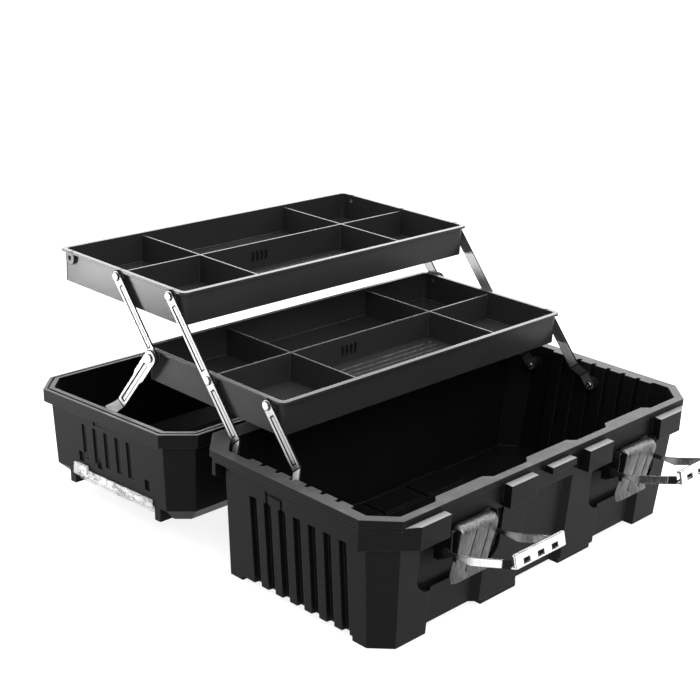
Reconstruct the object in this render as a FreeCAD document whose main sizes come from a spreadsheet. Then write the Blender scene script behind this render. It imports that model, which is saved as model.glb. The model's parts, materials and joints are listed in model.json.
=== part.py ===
"""Cantilever tool case: drafted tub, swinging lid, two lifting trays on riveted steel links, two latches.

The document stands in the open pose. X runs along the case, Y towards the hinge, Z up, and the
origin is under the middle of the tub. Lid pieces are drawn closed and then swung open about the hinge.
"""
import FreeCAD, Part
import Sketcher
import math
import os
import re
from types import SimpleNamespace
from FreeCAD import Placement, Rotation, Vector

# Driving sizes, in millimetres and degrees

SIZES = {
    # tub
    "case_length": 500, "case_width": 250, "base_height": 136,
    "corner_cut": 27.5, "foot_corner_cut": 18.7,
    "end_overhang": 8, "side_overhang": 5, "end_inset": 22, "side_inset": 12,
    "rear_overhang": 17, "rear_inset": 17.5, "rear_bay_depth": 2,
    "base_wall": 3.5, "base_floor": 9, "foot_height": 5, "foot_length": 60, "notch_depth": 12,
    "rim_height": 7, "band_height": 5, "band_inset": 2.5, "relief_drop": 35,
    "flute_first": 25.5, "flute_last": 45, "flute_pitch": 19.6, "flute_width": 10, "flute_depth": 5,
    "arch_top_drop": 22, "arch_width": 4, "arch_depth": 1.6,
    "bay_depth": 7, "bay_slope": 8, "latch_bay": 76, "centre_bay": 74, "pier_width": 54,
    "panel_width": 60, "panel_bottom": 57, "panel_top_drop": 41, "panel_depth": 2,
    "well_width": 118, "well_bottom": 46, "well_radius": 20, "well_depth": 7,
    "lug_foot_drop": 30, "lug_shoulder_drop": 7.3, "lug_top_drop": 7, "lug_out": 8, "corner_reach": 7,
    "lug_inner": 42, "lug_side": 49, "corner_lug_side": 37, "header_drop": 25,
    "lip_width": 38, "lip_height": 7, "lip_out": 8,
    "rear_block_length": 62, "rear_block_depth": 33, "rear_block_drop": 26, "arch_radius": 10,
    "pad_length": 63, "pad_pitch": 68, "pad_depth": 33, "pad_height": 3, "pad_back": 5,
    # hinge
    "hinge_back": 11.5, "hinge_drop": 4.4, "hinge_inset": 100, "hinge_barrel": 6,
    "hinge_pin": 2, "knuckle": 10, "knuckle_gap": 0.4,
    # lid
    "lid_height": 101, "lid_swing": 183, "rim_gap": 0.4, "lid_overhang": 7, "lid_draft": 4,
    "lid_bevel": 15, "lid_wall": 2.4, "lid_end_wall": 4.2, "lid_flange": 14,
    "groove_in": 3.5, "groove_width": 2.5, "groove_depth": 2,
    "lid_flute_edge": 42, "lid_flute_width": 9, "lid_flute_pitch": 19, "lid_flute_depth": 1.8,
    "lid_flute_start": 27, "lid_flute_length": 40, "slot_length": 12, "slot_drop": 14, "slot_depth": 2.4,
    "pivot_plate": 13, "pivot_plate_depth": 1.2,
    "catch_width": 54, "catch_bottom": 18, "catch_ledge": 4.5, "catch_lip": 3.5, "catch_rise": 4,
    "catch_out": 4.5,
    # parts compartments in the lid ends
    "cell_inset": 33.5, "cell_wall": 2, "cell_front_inset": 63, "cell_rear_inset": 51, "cell_depth": 29,
    "cell_block": 9, "cover_skin": 1.6, "cover_gap": 0.4, "cover_barrel": 2.6, "cover_pin": 1,
    "cover_knuckle": 7.5, "cover_tab": 22, "cover_skirt": 7, "cover_stand": 1.1,
    # trays
    "tray_play": 22.75, "tray_height": 34.5, "tray_lip": 3, "tray_lip_height": 2.5,
    "tray_wall": 2, "tray_floor": 2, "tray_corner": 7, "divider": 1.8, "divider_drop": 3, "divider_fit": 0.1, "side_cell": 107.8,
    "rib_height": 0.8, "rib_width": 1.2, "rib_pitch": 9, "rib_margin": 12,
    # links
    "pivot_edge": 18.55, "pivot_drop": 7, "stage": 91.8, "open_angle": 49.8,
    "bar_pivot_back": 44.8, "bar_pivot_drop": 21.2, "bar_notch_in": 3.8, "bar_notch_drop": 4.5, "bar_notch_side": 0.8,
    "bar_inset": 34.7, "bar_width": 13, "bar_thickness": 2, "bar_joggle": 9, "joggle_start": 14,
    "joggle_length": 12, "press_width": 5, "press_depth": 0.6, "press_margin": 11,
    "link_step": 4.7, "lid_link_joggle": 11, "lid_pivot_back": 150, "lid_pivot_drop": 30,
    "shoulder_width": 17, "shoulder_length": 30, "waist_width": 12.5,
    "rivet": 2.5, "rivet_head": 4.6, "rivet_dome": 1.8, "boss": 7.5, "boss_gap": 0.3, "tray_stand": 0.2,
    "running_gap": 0.2, "pin_gap": 0.08,
    # latches
    "latch_inset": 119, "lever_width": 62, "lever_out": 3, "lever_pivot_drop": 30, "lever_reach": 84,
    "lever_sheet": 2, "lever_roll": 5, "lever_lean": 5, "lever_flare": 2.5, "lever_corner": 4,
    "ear_sheet": 1.6, "latch_pin": 1.5,
    "bail_out": 2.5, "bail_pivot_drop": 48, "bail_reach": 80, "bail_open": 75, "bail_sheet": 2,
    "bail_half_arm": 4, "bracket_sink": 1, "bracket_foot_drop": 60,
    # handle
    "handle_width": 131, "handle_reach": 48, "handle_bar": 12, "handle_arm": 11.5, "handle_pivot_y": 22,
    "handle_ear": 6, "handle_pin": 2.5, "handle_lift": 0.4,
}

doc = FreeCAD.newDocument("tool_case")
sheet = doc.addObject("Spreadsheet::Sheet", "Sizes")
d = SimpleNamespace()


def write_cells(values):
    """Add named cells to the sheet and read them back as numbers."""
    for alias, value in values.items():
        row = len(vars(d)) + 1
        sheet.set(f"A{row}", alias)
        sheet.set(f"B{row}", str(value))
        sheet.setAlias(f"B{row}", alias)
        setattr(d, alias, float(value))
    doc.recompute()


write_cells(SIZES)
ALONG_X = Vector(1, 0, 0)
HALF_X = d.case_length / 2
HALF_Y = d.case_width / 2

# Places that follow from the driving sizes

write_cells({
    "relief_height": d.base_height - d.relief_drop,
    "latch_x": HALF_X - d.latch_inset,
    "hinge_x": HALF_X - d.hinge_inset,
    "bar_plane": HALF_X - d.bar_inset,
    "bar_pivot_y": HALF_Y - d.bar_pivot_back,
    "boss_face": HALF_X - d.bar_inset - d.boss_gap,
    "lid_link_plane": HALF_X - d.bar_inset + d.link_step,
    "tray_length": 2 * (HALF_X - d.bar_inset - d.boss_gap - d.tray_stand),
    "tray_depth": d.case_width - 2 * d.tray_play,
    "cell_inner": HALF_X - d.cell_inset,
    "cell_front": d.cell_front_inset - HALF_Y,
    "cell_rear": HALF_Y - d.cell_rear_inset,
    "lever_pivot_y": HALF_Y + d.lever_out,
    "lever_pivot_z": d.base_height - d.lever_pivot_drop,
    "lever_bottom": d.base_height - d.lever_reach,
    "bail_pivot_y": HALF_Y + d.bail_out,
    "bail_pivot_z": d.base_height - d.bail_pivot_drop,
    "bracket_y": HALF_Y - d.side_overhang - d.bay_depth - d.bracket_sink,
    "bracket_foot": d.base_height - d.bracket_foot_drop,
    "lid_pivot_y": HALF_Y + d.hinge_back + d.lid_pivot_back,
    "lid_pivot_z": d.base_height - d.hinge_drop - d.lid_pivot_drop,
})
write_cells({
    "pivot_spacing": d.tray_depth / 2 - d.pivot_edge,
    "divider_x": d.tray_length / 2 - d.side_cell,
    "corner_lug": d.latch_x + d.corner_lug_side,
    "lug_outer": d.latch_x - d.lug_side,
})
HINGE_Y = HALF_Y + d.hinge_back
HINGE_Z = d.base_height - d.hinge_drop
LID_BASE = d.base_height + d.rim_gap
LID_TOP = LID_BASE + d.lid_height
LID_SHOULDER = LID_TOP - d.lid_bevel
LID_OPEN = Placement(Vector(), Rotation(ALONG_X, -d.lid_swing), Vector(0, HINGE_Y, HINGE_Z))
OFFSET_CUT = 2 - math.sqrt(2)
pieces = []


# Small building blocks

def cell(formula):
    """Turn the plain names of sizes in a formula into cells of the sheet."""
    return re.sub(r"\b[a-z]\w*\b(?!\()", r"Sizes.\g<0>", formula)


def keep(piece, label):
    """Name a finished sub-part and list it for export."""
    piece.Label = label
    pieces.append(piece)
    return piece


def new_body(name):
    return doc.addObject("PartDesign::Body", name)


def plane_of(body, role):
    return next(f for f in body.Origin.OriginFeatures if f.Role == role)


def sketch_on(body, name, role, offset):
    sketch = body.newObject("Sketcher::SketchObject", name)
    sketch.AttachmentSupport = [(plane_of(body, role), "")]
    sketch.MapMode = "FlatFace"
    sketch.setExpression("AttachmentOffset.Base.z", cell(offset))
    return sketch


def hold(sketch, kind, line, end, formula):
    """Hold one coordinate of a line's end at a formula of the sheet."""
    index = sketch.addConstraint(Sketcher.Constraint(kind, -1, 1, line, end, 1.0))
    sketch.setExpression(f"Constraints[{index}]", cell(formula))


def outline(body, name, role, loops, offset="0"):
    """Closed polygons whose corners are pairs of formulas."""
    sketch = sketch_on(body, name, role, offset)
    for loop in loops:
        count = len(loop)
        first = sketch.GeometryCount
        turn = 2 * math.pi / count
        ring = [Vector(math.cos(turn * i), math.sin(turn * i), 0) * 10 for i in range(count)]
        for i in range(count):
            sketch.addGeometry(Part.LineSegment(ring[i], ring[(i + 1) % count]), False)
        for i in range(count):
            follower = first + (i + 1) % count
            sketch.addConstraint(Sketcher.Constraint("Coincident", first + i, 2, follower, 1))
        for i, (across, up) in enumerate(loop):
            hold(sketch, "DistanceX", first + i, 1, across)
            hold(sketch, "DistanceY", first + i, 1, up)
    return sketch


def rectangle(x0, x1, y0, y1):
    return [(x0, y0), (x1, y0), (x1, y1), (x0, y1)]


def circles(body, name, role, centres, radius, offset="0"):
    """Circles of one radius whose centres are pairs of formulas."""
    sketch = sketch_on(body, name, role, offset)
    for i, (across, up) in enumerate(centres):
        sketch.addGeometry(Part.Circle(Vector(i, 0, 0), Vector(0, 0, 1), 1 + i), False)
        hold(sketch, "DistanceX", i, 3, across)
        hold(sketch, "DistanceY", i, 3, up)
        index = sketch.addConstraint(Sketcher.Constraint("Radius", i, 1.0 + i))
        sketch.setExpression(f"Constraints[{index}]", cell(radius))
    return sketch


def pad(body, sketch, length):
    feature = body.newObject("PartDesign::Pad", sketch.Name + "_pad")
    feature.Profile = sketch
    feature.setExpression("Length", cell(length))
    sketch.Visibility = False
    return feature


def pocket(body, sketch, length):
    """Cut from the sketch against its normal, and make sure that something was cut."""
    doc.recompute()
    before = body.Shape.Volume
    feature = body.newObject("PartDesign::Pocket", sketch.Name + "_cut")
    feature.Profile = sketch
    feature.setExpression("Length", cell(length))
    doc.recompute()
    if not body.Shape.Volume < before:
        raise RuntimeError(f"{feature.Name} cut nothing")
    return feature


def round_edges(body, name, radius, chosen):
    """Fillet the body's edges for which chosen(edge) is true."""
    doc.recompute()
    base = body.Tip
    names = [f"Edge{i}" for i, edge in enumerate(base.Shape.Edges, start=1) if chosen(edge)]
    if not names:
        raise RuntimeError(f"{name} found no edge to round")
    feature = body.newObject("PartDesign::Fillet", name)
    feature.Base = (base, names)
    feature.setExpression("Radius", cell(radius))
    doc.recompute()
    return feature


def runs_along(edge, axis):
    """True for a straight edge along X, Y or Z."""
    if not isinstance(edge.Curve, Part.Line):
        return False
    direction = edge.Vertexes[1].Point - edge.Vertexes[0].Point
    return abs(direction.normalize().dot(axis)) > 0.999


def rod(name, x0, x1, y, z, radius):
    """A cylinder along X whose ends, axis and radius are formulas."""
    piece = doc.addObject("Part::Cylinder", name)
    piece.Placement = Placement(Vector(), Rotation(Vector(0, 1, 0), 90))
    piece.setExpression("Placement.Base.x", cell(x0))
    piece.setExpression("Placement.Base.y", cell(y))
    piece.setExpression("Placement.Base.z", cell(z))
    piece.setExpression("Height", cell(f"({x1}) - ({x0})"))
    piece.setExpression("Radius", cell(radius))
    return piece


def dome(name, x, y, z, outward):
    """The low head of a rivet, on the side that outward points to along X."""
    piece = doc.addObject("Part::Cone", name)
    piece.setExpression("Radius1", cell("rivet_head"))
    piece.setExpression("Radius2", cell("rivet_head/2"))
    piece.setExpression("Height", cell("rivet_dome"))
    piece.Placement = Placement(Vector(), Rotation(Vector(0, 1, 0), 90 * outward))
    piece.setExpression("Placement.Base.x", cell(x))
    piece.setExpression("Placement.Base.y", cell(y))
    piece.setExpression("Placement.Base.z", cell(z))
    return piece


def fuse(name, shapes):
    piece = doc.addObject("Part::MultiFuse", name)
    piece.Shapes = shapes
    return piece


def mirrored(name, source):
    """The right-hand twin of a left-hand piece."""
    piece = doc.addObject("Part::Mirroring", name)
    piece.Source = source
    piece.Normal = ALONG_X
    return piece


def group(label, solids):
    """Identical small pieces that share one node."""
    piece = doc.addObject("Part::Compound", label)
    piece.Links = solids
    return keep(piece, label)


def wire(points, z):
    closed = points + points[:1]
    return Part.makePolygon([Vector(x, y, z) for x, y in closed])


def tapered(sections):
    """A solid through polygons at rising heights, with straight sides between them."""
    return Part.makeLoft([wire(points, z) for points, z in sections], True, True)


def block(x0, x1, y0, y1, z0, z1):
    return Part.makeBox(x1 - x0, y1 - y0, z1 - z0, Vector(x0, y0, z0))


def cylinder_x(x0, x1, y, z, radius):
    return Part.makeCylinder(radius, x1 - x0, Vector(x0, y, z), ALONG_X)


def profile_x(points, x0, x1):
    """A polygon in the YZ plane drawn out along X."""
    closed = points + points[:1]
    face = Part.Face(Part.makePolygon([Vector(x0, y, z) for y, z in closed]))
    return face.extrude(Vector(x1 - x0, 0, 0))


def octagon(half_x, front, rear, cut):
    """A rectangle from front to rear with its four corners cut off."""
    right = [(half_x - cut, front), (half_x, front + cut), (half_x, rear - cut), (half_x - cut, rear)]
    left = [(-x, y) for x, y in reversed(right)]
    return right + left


def rim_octagon(inset):
    """The plan of the rim, drawn in by the given distance."""
    return octagon(HALF_X - inset, inset - HALF_Y, HALF_Y - inset, d.corner_cut - OFFSET_CUT * inset)


def both_ends(shapes):
    """The given left-hand shapes and their mirror images."""
    return shapes + [shape.mirror(Vector(), ALONG_X) for shape in shapes]


# Tub

def tub_size(z):
    """Half length, front, rear and corner cut of the tub's outside at height z."""
    share = z / d.base_height
    inset_x = d.end_inset + (d.end_overhang - d.end_inset) * share
    inset_y = d.side_inset + (d.side_overhang - d.side_inset) * share
    inset_rear = d.rear_inset + (d.rear_overhang - d.rear_inset) * share
    top_cut = d.corner_cut - OFFSET_CUT * d.end_overhang
    cut = d.foot_corner_cut + (top_cut - d.foot_corner_cut) * share
    return HALF_X - inset_x, inset_y - HALF_Y, HALF_Y - inset_rear, cut


def relief(centres, widths, slope, depth, grow):
    """Where a wall steps in: distances along it, paired with how far in they lie."""
    steps = []
    for centre, width in zip(centres, widths):
        mouth = width / 2 + grow
        floor = mouth - slope
        steps += [(centre - mouth, 0), (centre - floor, depth), (centre + floor, depth), (centre + mouth, 0)]
    return steps


def flute_rows():
    """Places of the end walls' flutes, as many as the foot of the wall has room for."""
    _, front, rear, cut = tub_size(0)
    first = front + cut + d.flute_first
    last = HALF_Y - d.side_inset - cut - d.flute_last
    count = 1 + int((last - first) / d.flute_pitch)
    return [first + i * d.flute_pitch for i in range(count)]


def tub_outline(z, wall):
    """The tub's plan with its bays and flutes; wall is 0 outside and the wall's thickness inside."""
    half_x, front_y, rear_y, cut = tub_size(z)
    half_x -= wall
    front_y += wall
    rear_y -= wall
    cut -= OFFSET_CUT * wall
    grow = 0.8 * wall
    bays, rear_bays = [relief([-d.latch_x, 0, d.latch_x], [d.latch_bay, d.centre_bay, d.latch_bay],
                              d.bay_slope, depth, grow) for depth in (d.bay_depth, d.rear_bay_depth)]
    rows = flute_rows()
    flutes = relief(rows, [d.flute_width] * len(rows), 1, d.flute_depth, grow)
    front = [(-half_x + cut, front_y)] + [(a, front_y + b) for a, b in bays] + [(half_x - cut, front_y)]
    right = [(half_x, front_y + cut)] + [(half_x - b, a) for a, b in flutes] + [(half_x, rear_y - cut)]
    rear = [(half_x - cut, rear_y)] + [(a, rear_y - b) for a, b in reversed(rear_bays)] + [(-half_x + cut, rear_y)]
    left = [(-x, y) for x, y in reversed(right)]
    return front + right + rear + left


def lug_levels(proud, flush):
    """A block under the rim: upright to its shoulder, then almost level in to the rim."""
    top = d.base_height
    return tapered([(proud, top - d.lug_foot_drop), (proud, top - d.lug_shoulder_drop),
                    (flush, top - d.lug_top_drop)])


def front_lug(x0, x1):
    """A block under the front rim with a level top."""
    inner = -HALF_Y + d.side_overhang + d.base_wall / 2
    proud = [(x0, inner), (x0, -HALF_Y - d.lug_out), (x1, -HALF_Y - d.lug_out), (x1, inner)]
    flush = [(x0, inner), (x0, -HALF_Y), (x1, -HALF_Y), (x1, inner)]
    return lug_levels(proud, flush)


def corner_lug():
    """The left front corner block, which wraps round the cut corner."""
    inner = -HALF_Y + d.side_overhang + d.base_wall / 2
    cut = d.corner_cut
    reach = cut + d.lug_out + d.corner_reach
    back = [(-d.corner_lug, inner), (-HALF_X + d.end_overhang + d.base_wall, -HALF_Y + cut)]
    proud = [(-HALF_X, -HALF_Y + cut), (-HALF_X + reach, -HALF_Y - d.lug_out),
             (-d.corner_lug, -HALF_Y - d.lug_out)] + back
    flush = [(-HALF_X, -HALF_Y + cut), (-HALF_X + cut, -HALF_Y), (-d.corner_lug, -HALF_Y)] + back
    return lug_levels(proud, flush)


def rear_block():
    """The left rear corner under the rim, with a curved underside that runs into the walls."""
    foot = d.base_height - d.rear_block_drop
    rim_foot = d.base_height - d.rim_height
    rim_plan = rim_octagon(d.band_inset)

    def plan(z, share):
        wall_plan = octagon(*tub_size(z))
        return [(a + (b - a) * share, e + (f - e) * share) for (a, e), (b, f) in zip(wall_plan, rim_plan)]

    corner = tapered([(plan(foot - d.arch_radius, -0.1), foot - d.arch_radius),
                      (plan(foot - 0.3 * d.arch_radius, 0.2), foot - 0.3 * d.arch_radius),
                      (rim_plan, foot), (rim_plan, rim_foot)])
    return corner.common(block(-HALF_X, -HALF_X + d.rear_block_length, HALF_Y - d.rear_block_depth, HALF_Y,
                               foot - d.arch_radius, rim_foot))


def wall_groove(y0, y1, z0, z1, depth):
    """A cut in the left end wall of the tub that follows the wall's draft."""
    plans = []
    for z in (z0, z1):
        face = -tub_size(z)[0]
        plans.append(([(face - 4, y0), (face + depth, y0), (face + depth, y1), (face - 4, y1)], z))
    return tapered(plans)


def tall_panel():
    """Grooves on the left end that carry two flutes higher and join them over a raised panel."""
    near, far = flute_rows()[-3:-1]
    low = d.relief_height - 1
    high = d.base_height - d.arch_top_drop
    half = d.arch_width / 2
    sides = [wall_groove(y - half, y + half, low, high, d.arch_depth) for y in (near, far)]
    return sides + [wall_groove(near - half, far + half, high - d.arch_width, high, d.arch_depth)]


def latch_well(grow, y0, y1):
    """The round-bottomed finger well behind a latch, or its lining when grown by the wall."""
    x0 = -d.latch_x - d.well_width / 2 - grow
    x1 = -d.latch_x + d.well_width / 2 + grow
    low = d.well_bottom - grow
    well = block(x0, x1, y0, y1, low, d.relief_height + grow)
    corners = [e for e in well.Edges if runs_along(e, Vector(0, 1, 0)) and e.Vertexes[0].Z < low + 1]
    return well.makeFillet(d.well_radius + grow, corners)


def knuckles(places, radius):
    """Hinge barrels about the hinge axis, each from x0 to x1."""
    return [cylinder_x(x0, x1, HINGE_Y, HINGE_Z, radius) for x0, x1 in places]


def hinge_places():
    """Left hinge: two base knuckles with the lid's knuckle between them."""
    middle = (-d.hinge_x - d.knuckle / 2, -d.hinge_x + d.knuckle / 2)
    near = (middle[1] + d.knuckle_gap, middle[1] + d.knuckle_gap + d.knuckle)
    far = (middle[0] - d.knuckle_gap - d.knuckle, middle[0] - d.knuckle_gap)
    return [far, near], middle


def base_hinge():
    """Knuckles and their arched brackets on the rear wall."""
    outer, _ = hinge_places()
    wall = HALF_Y - d.rear_overhang
    low = d.base_height - d.rim_height - 4 * d.hinge_barrel
    arm = [(wall - 1, low), (wall + 2, low), (HINGE_Y + 1, HINGE_Z - d.hinge_barrel + 0.2),
           (HINGE_Y, HINGE_Z + 2), (HALF_Y - 1, HINGE_Z + 2), (wall - 1, HINGE_Z)]
    return [profile_x(arm, x0, x1) for x0, x1 in outer] + knuckles(outer, d.hinge_barrel)


def base_pivots():
    """Places of the two bar pivots on the tub's end walls."""
    z = d.base_height - d.bar_pivot_drop
    return [(d.bar_pivot_y, z), (d.bar_pivot_y - d.pivot_spacing, z)]


def pivot_seat():
    """How far out the bars' rivets reach into the tub's end walls."""
    return tub_size(d.base_height - d.bar_pivot_drop)[0] - 0.4 * d.base_wall


def bar_notch():
    """The notch in the rear rim's inner edge that lets the left long bar lie back."""
    wall = tub_size(d.base_height)[2] - d.base_wall
    return block(-d.bar_plane - d.bar_thickness - d.bar_notch_side, -d.bar_plane + d.bar_notch_side,
                 wall - 5, wall + d.bar_notch_in, d.base_height - d.bar_notch_drop, d.base_height + 1)


def bottom_notches():
    """Cuts under the four walls that leave feet at the corners."""
    foot_x, front, rear, _ = tub_size(0)
    notch_x = foot_x - d.foot_length
    side = d.foot_length * 0.6
    return [block(-notch_x, notch_x, front - 1, front + d.notch_depth, -1, d.foot_height),
            block(-notch_x, notch_x, rear - d.notch_depth, rear + 1, -1, d.foot_height)] + both_ends(
        [block(-foot_x - 1, -foot_x + d.notch_depth, front + side, rear - side, -1, d.foot_height)])


def piers():
    """Feet under the two pilasters, at the front and the rear, on the left side."""
    _, front, rear, _ = tub_size(0)
    middle = -(d.lug_inner + d.lug_outer) / 2
    x0, x1 = middle - d.pier_width / 2, middle + d.pier_width / 2
    top = d.foot_height + 1
    return [block(x0, x1, front + 0.5, front + d.notch_depth + 1, 0, top),
            block(x0, x1, rear - d.notch_depth - 1, rear - 0.5, 0, top)]


def floor_pads():
    """Three low pads on the floor along the rear wall."""
    rear = HALF_Y - d.rear_inset - d.rear_bay_depth - d.base_wall - d.pad_back
    return [block(i * d.pad_pitch - d.pad_length / 2, i * d.pad_pitch + d.pad_length / 2, rear - d.pad_depth, rear,
                  d.base_floor - 1, d.base_floor + d.pad_height) for i in (-1, 0, 1)]


def tub():
    lower = tapered([(tub_outline(0, 0), 0), (tub_outline(d.relief_height, 0), d.relief_height)])
    upper = tapered([(octagon(*tub_size(d.relief_height)), d.relief_height),
                     (octagon(*tub_size(d.base_height)), d.base_height)])
    rim_foot = d.base_height - d.rim_height
    rim = tapered([(rim_octagon(0), rim_foot), (rim_octagon(0), d.base_height)])
    band_plan = rim_octagon(d.band_inset)
    band = tapered([(band_plan, rim_foot - d.band_height), (band_plan, rim_foot)])
    inner = -HALF_Y + d.side_overhang + d.base_wall / 2
    header = block(-d.corner_lug, -d.lug_outer, -HALF_Y + d.band_inset / 2, inner,
                   d.base_height - d.header_drop, rim_foot)
    left = [corner_lug(), front_lug(-d.lug_outer, -d.lug_inner), header, rear_block()] + base_hinge()
    lip = block(-d.lip_width / 2, d.lip_width / 2, -HALF_Y - d.lip_out, inner, rim_foot - d.lip_height, rim_foot)
    shell = lower.multiFuse([upper, rim, band, lip] + both_ends(left))

    # inside
    cavity = tapered([(tub_outline(d.base_floor, d.base_wall), d.base_floor),
                      (tub_outline(d.base_height, d.base_wall), d.base_height + 1)])
    shell = shell.cut(cavity)

    # finger wells behind the latches, and the seats of the latch brackets
    bay_floor = -HALF_Y + d.side_overhang + d.bay_depth
    well_floor = bay_floor + d.well_depth
    lining = latch_well(d.base_wall, bay_floor + 2, well_floor + d.base_wall)
    well = latch_well(0, -HALF_Y - d.lug_out, well_floor)
    seat = block(-d.latch_x - 20, -d.latch_x + 20, -d.bracket_y, well_floor + 1,
                 d.bracket_foot, d.relief_height - 1)
    shell = shell.multiFuse(both_ends([lining]))
    for cut_well in both_ends([well]):
        shell = shell.cut(cut_well)

    # bosses for the bar pivots, and the floor pads
    boss_inner = d.bar_plane + d.bar_joggle + d.bar_thickness + d.running_gap
    bosses = [cylinder_x(-pivot_seat(), -boss_inner, y, z, d.boss) for y, z in base_pivots()]
    shell = shell.multiFuse(both_ends([seat] + bosses) + floor_pads())

    # rivet and hinge holes, the sunk front panel, the tall end panel and the notched bottom edge
    holes = [cylinder_x(-pivot_seat(), -boss_inner + 1, y, z, d.rivet) for y, z in base_pivots()]
    outer, _ = hinge_places()
    holes += [cylinder_x(x0 - 1, x1 + 1, HINGE_Y, HINGE_Z, d.hinge_pin) for x0, x1 in outer]
    panel = block(-d.panel_width / 2, d.panel_width / 2, -HALF_Y - d.lug_out, bay_floor + d.panel_depth,
                  d.panel_bottom, d.base_height - d.panel_top_drop)
    shell = shell.cut(both_ends(holes + tall_panel() + [bar_notch()]) + [panel] + bottom_notches())
    return shell.multiFuse(both_ends(piers())).removeSplitter()


# Lid

def lid_size(z):
    """Half length, front, rear and corner cut of the lid's outside at height z on the closed case."""
    share = (z - LID_BASE) / (LID_SHOULDER - LID_BASE)
    inset = d.lid_overhang + d.lid_draft * min(share, 1) + max(z - LID_SHOULDER, 0)
    return HALF_X - inset, inset - HALF_Y, HALF_Y - inset, d.corner_cut - OFFSET_CUT * inset


def lid_inside(z, drop):
    """The plan of the lid's inside: end walls are thicker than the long walls."""
    half_x, front, rear, cut = lid_size(z)
    return octagon(half_x - d.lid_end_wall - drop, front + d.lid_wall + drop, rear - d.lid_wall - drop,
                   cut - OFFSET_CUT * (d.lid_wall + drop))


def end_groove(y, width, z0, z1, depth):
    """A cut in the left end wall that follows the wall's draft."""
    sections = []
    for z in (z0, z1):
        face = -lid_size(z)[0]
        corners = [(face - 4, y - width / 2), (face + depth, y - width / 2),
                   (face + depth, y + width / 2), (face - 4, y + width / 2)]
        sections.append((corners, z))
    return tapered(sections)


def lid_pivot_closed():
    """Where the lid link's pivot lies on the closed lid."""
    turned = LID_OPEN.inverse().multVec(Vector(0, d.lid_pivot_y, d.lid_pivot_z))
    return turned.y, turned.z


def lid_knuckle():
    _, middle = hinge_places()
    wall = HALF_Y - d.lid_overhang
    arm = [(wall - 1, LID_BASE), (HALF_Y + 0.6, LID_BASE), (HINGE_Y - 5, HINGE_Z - 3),
           (HINGE_Y + 4, HINGE_Z + 4), (HALF_Y + 1, LID_BASE + d.lid_flange), (wall - 1, LID_BASE + d.lid_flange)]
    return [profile_x(arm, *middle)] + knuckles([middle], d.hinge_barrel)


def lid_catch():
    """The hooked ledge on the lid's front that a latch bail takes hold of."""
    bottom = LID_BASE + d.catch_bottom
    wall = lid_size(bottom)[1]
    face = -HALF_Y - d.catch_out
    top = bottom + d.catch_ledge
    hook = [(wall + 1, bottom - 4), (wall + 1, top), (face + d.catch_lip, top),
            (face + d.catch_lip, top + d.catch_rise), (face, top + d.catch_rise), (face, bottom)]
    return profile_x(hook, -d.latch_x - d.catch_width / 2, -d.latch_x + d.catch_width / 2)


def cell_block():
    """Lining of the parts compartment and the square blocks at its two ends."""
    outer = lid_size(LID_SHOULDER)[0]
    return block(-outer, -d.cell_inner, d.cell_front - d.cell_block, d.cell_rear + d.cell_block,
                 LID_TOP - d.cell_depth - d.cell_wall, LID_TOP)


def cell_cuts():
    """The compartment itself, its open side above the end wall, and the notch of the cover's barrel."""
    outer = lid_size(LID_SHOULDER)[0]
    inside = block(-outer + d.lid_wall, -d.cell_inner - d.cell_wall, d.cell_front, d.cell_rear,
                   LID_TOP - d.cell_depth, LID_TOP + 1)
    side = block(-outer - 3, -outer + d.lid_wall + 1, d.cell_front, d.cell_rear, LID_SHOULDER, LID_TOP + 1)
    y, z = cover_axis()
    notch = block(-cover_middle() - d.cover_knuckle / 2 - d.cover_gap,
                  -cover_middle() + d.cover_knuckle / 2 + d.cover_gap, d.cell_rear - 1,
                  y + d.cover_barrel + d.cover_gap, z - d.cover_barrel - 2, LID_TOP + 1)
    bore = cylinder_x(-outer + 1, -d.cell_inner - 1.5, y, z, d.cover_pin)
    return [inside, side, notch, bore]


def cover_axis():
    """The cover's hinge axis, in the block behind the compartment."""
    return d.cell_rear + d.cover_barrel + 1, LID_TOP - d.cover_barrel


def cover_middle():
    """Distance of the cover's knuckle from the middle of the case."""
    return d.cell_inner + d.cell_wall + 2 * d.cover_gap + d.cover_knuckle / 2


def handle_ears():
    """Two ears on the lid's top that carry the handle, on the left side."""
    z = LID_TOP + d.handle_lift + d.handle_bar / 2
    y = d.handle_pivot_y
    x1 = -d.handle_width / 2 - 0.5
    x0 = x1 - d.handle_ear
    half = d.handle_bar / 2
    foot = [(y - half - 4, LID_TOP - 1), (y + half + 4, LID_TOP - 1), (y + half, z), (y - half, z)]
    return [profile_x(foot, x0, x1), cylinder_x(x0, x1, y, z, half)]


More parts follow.
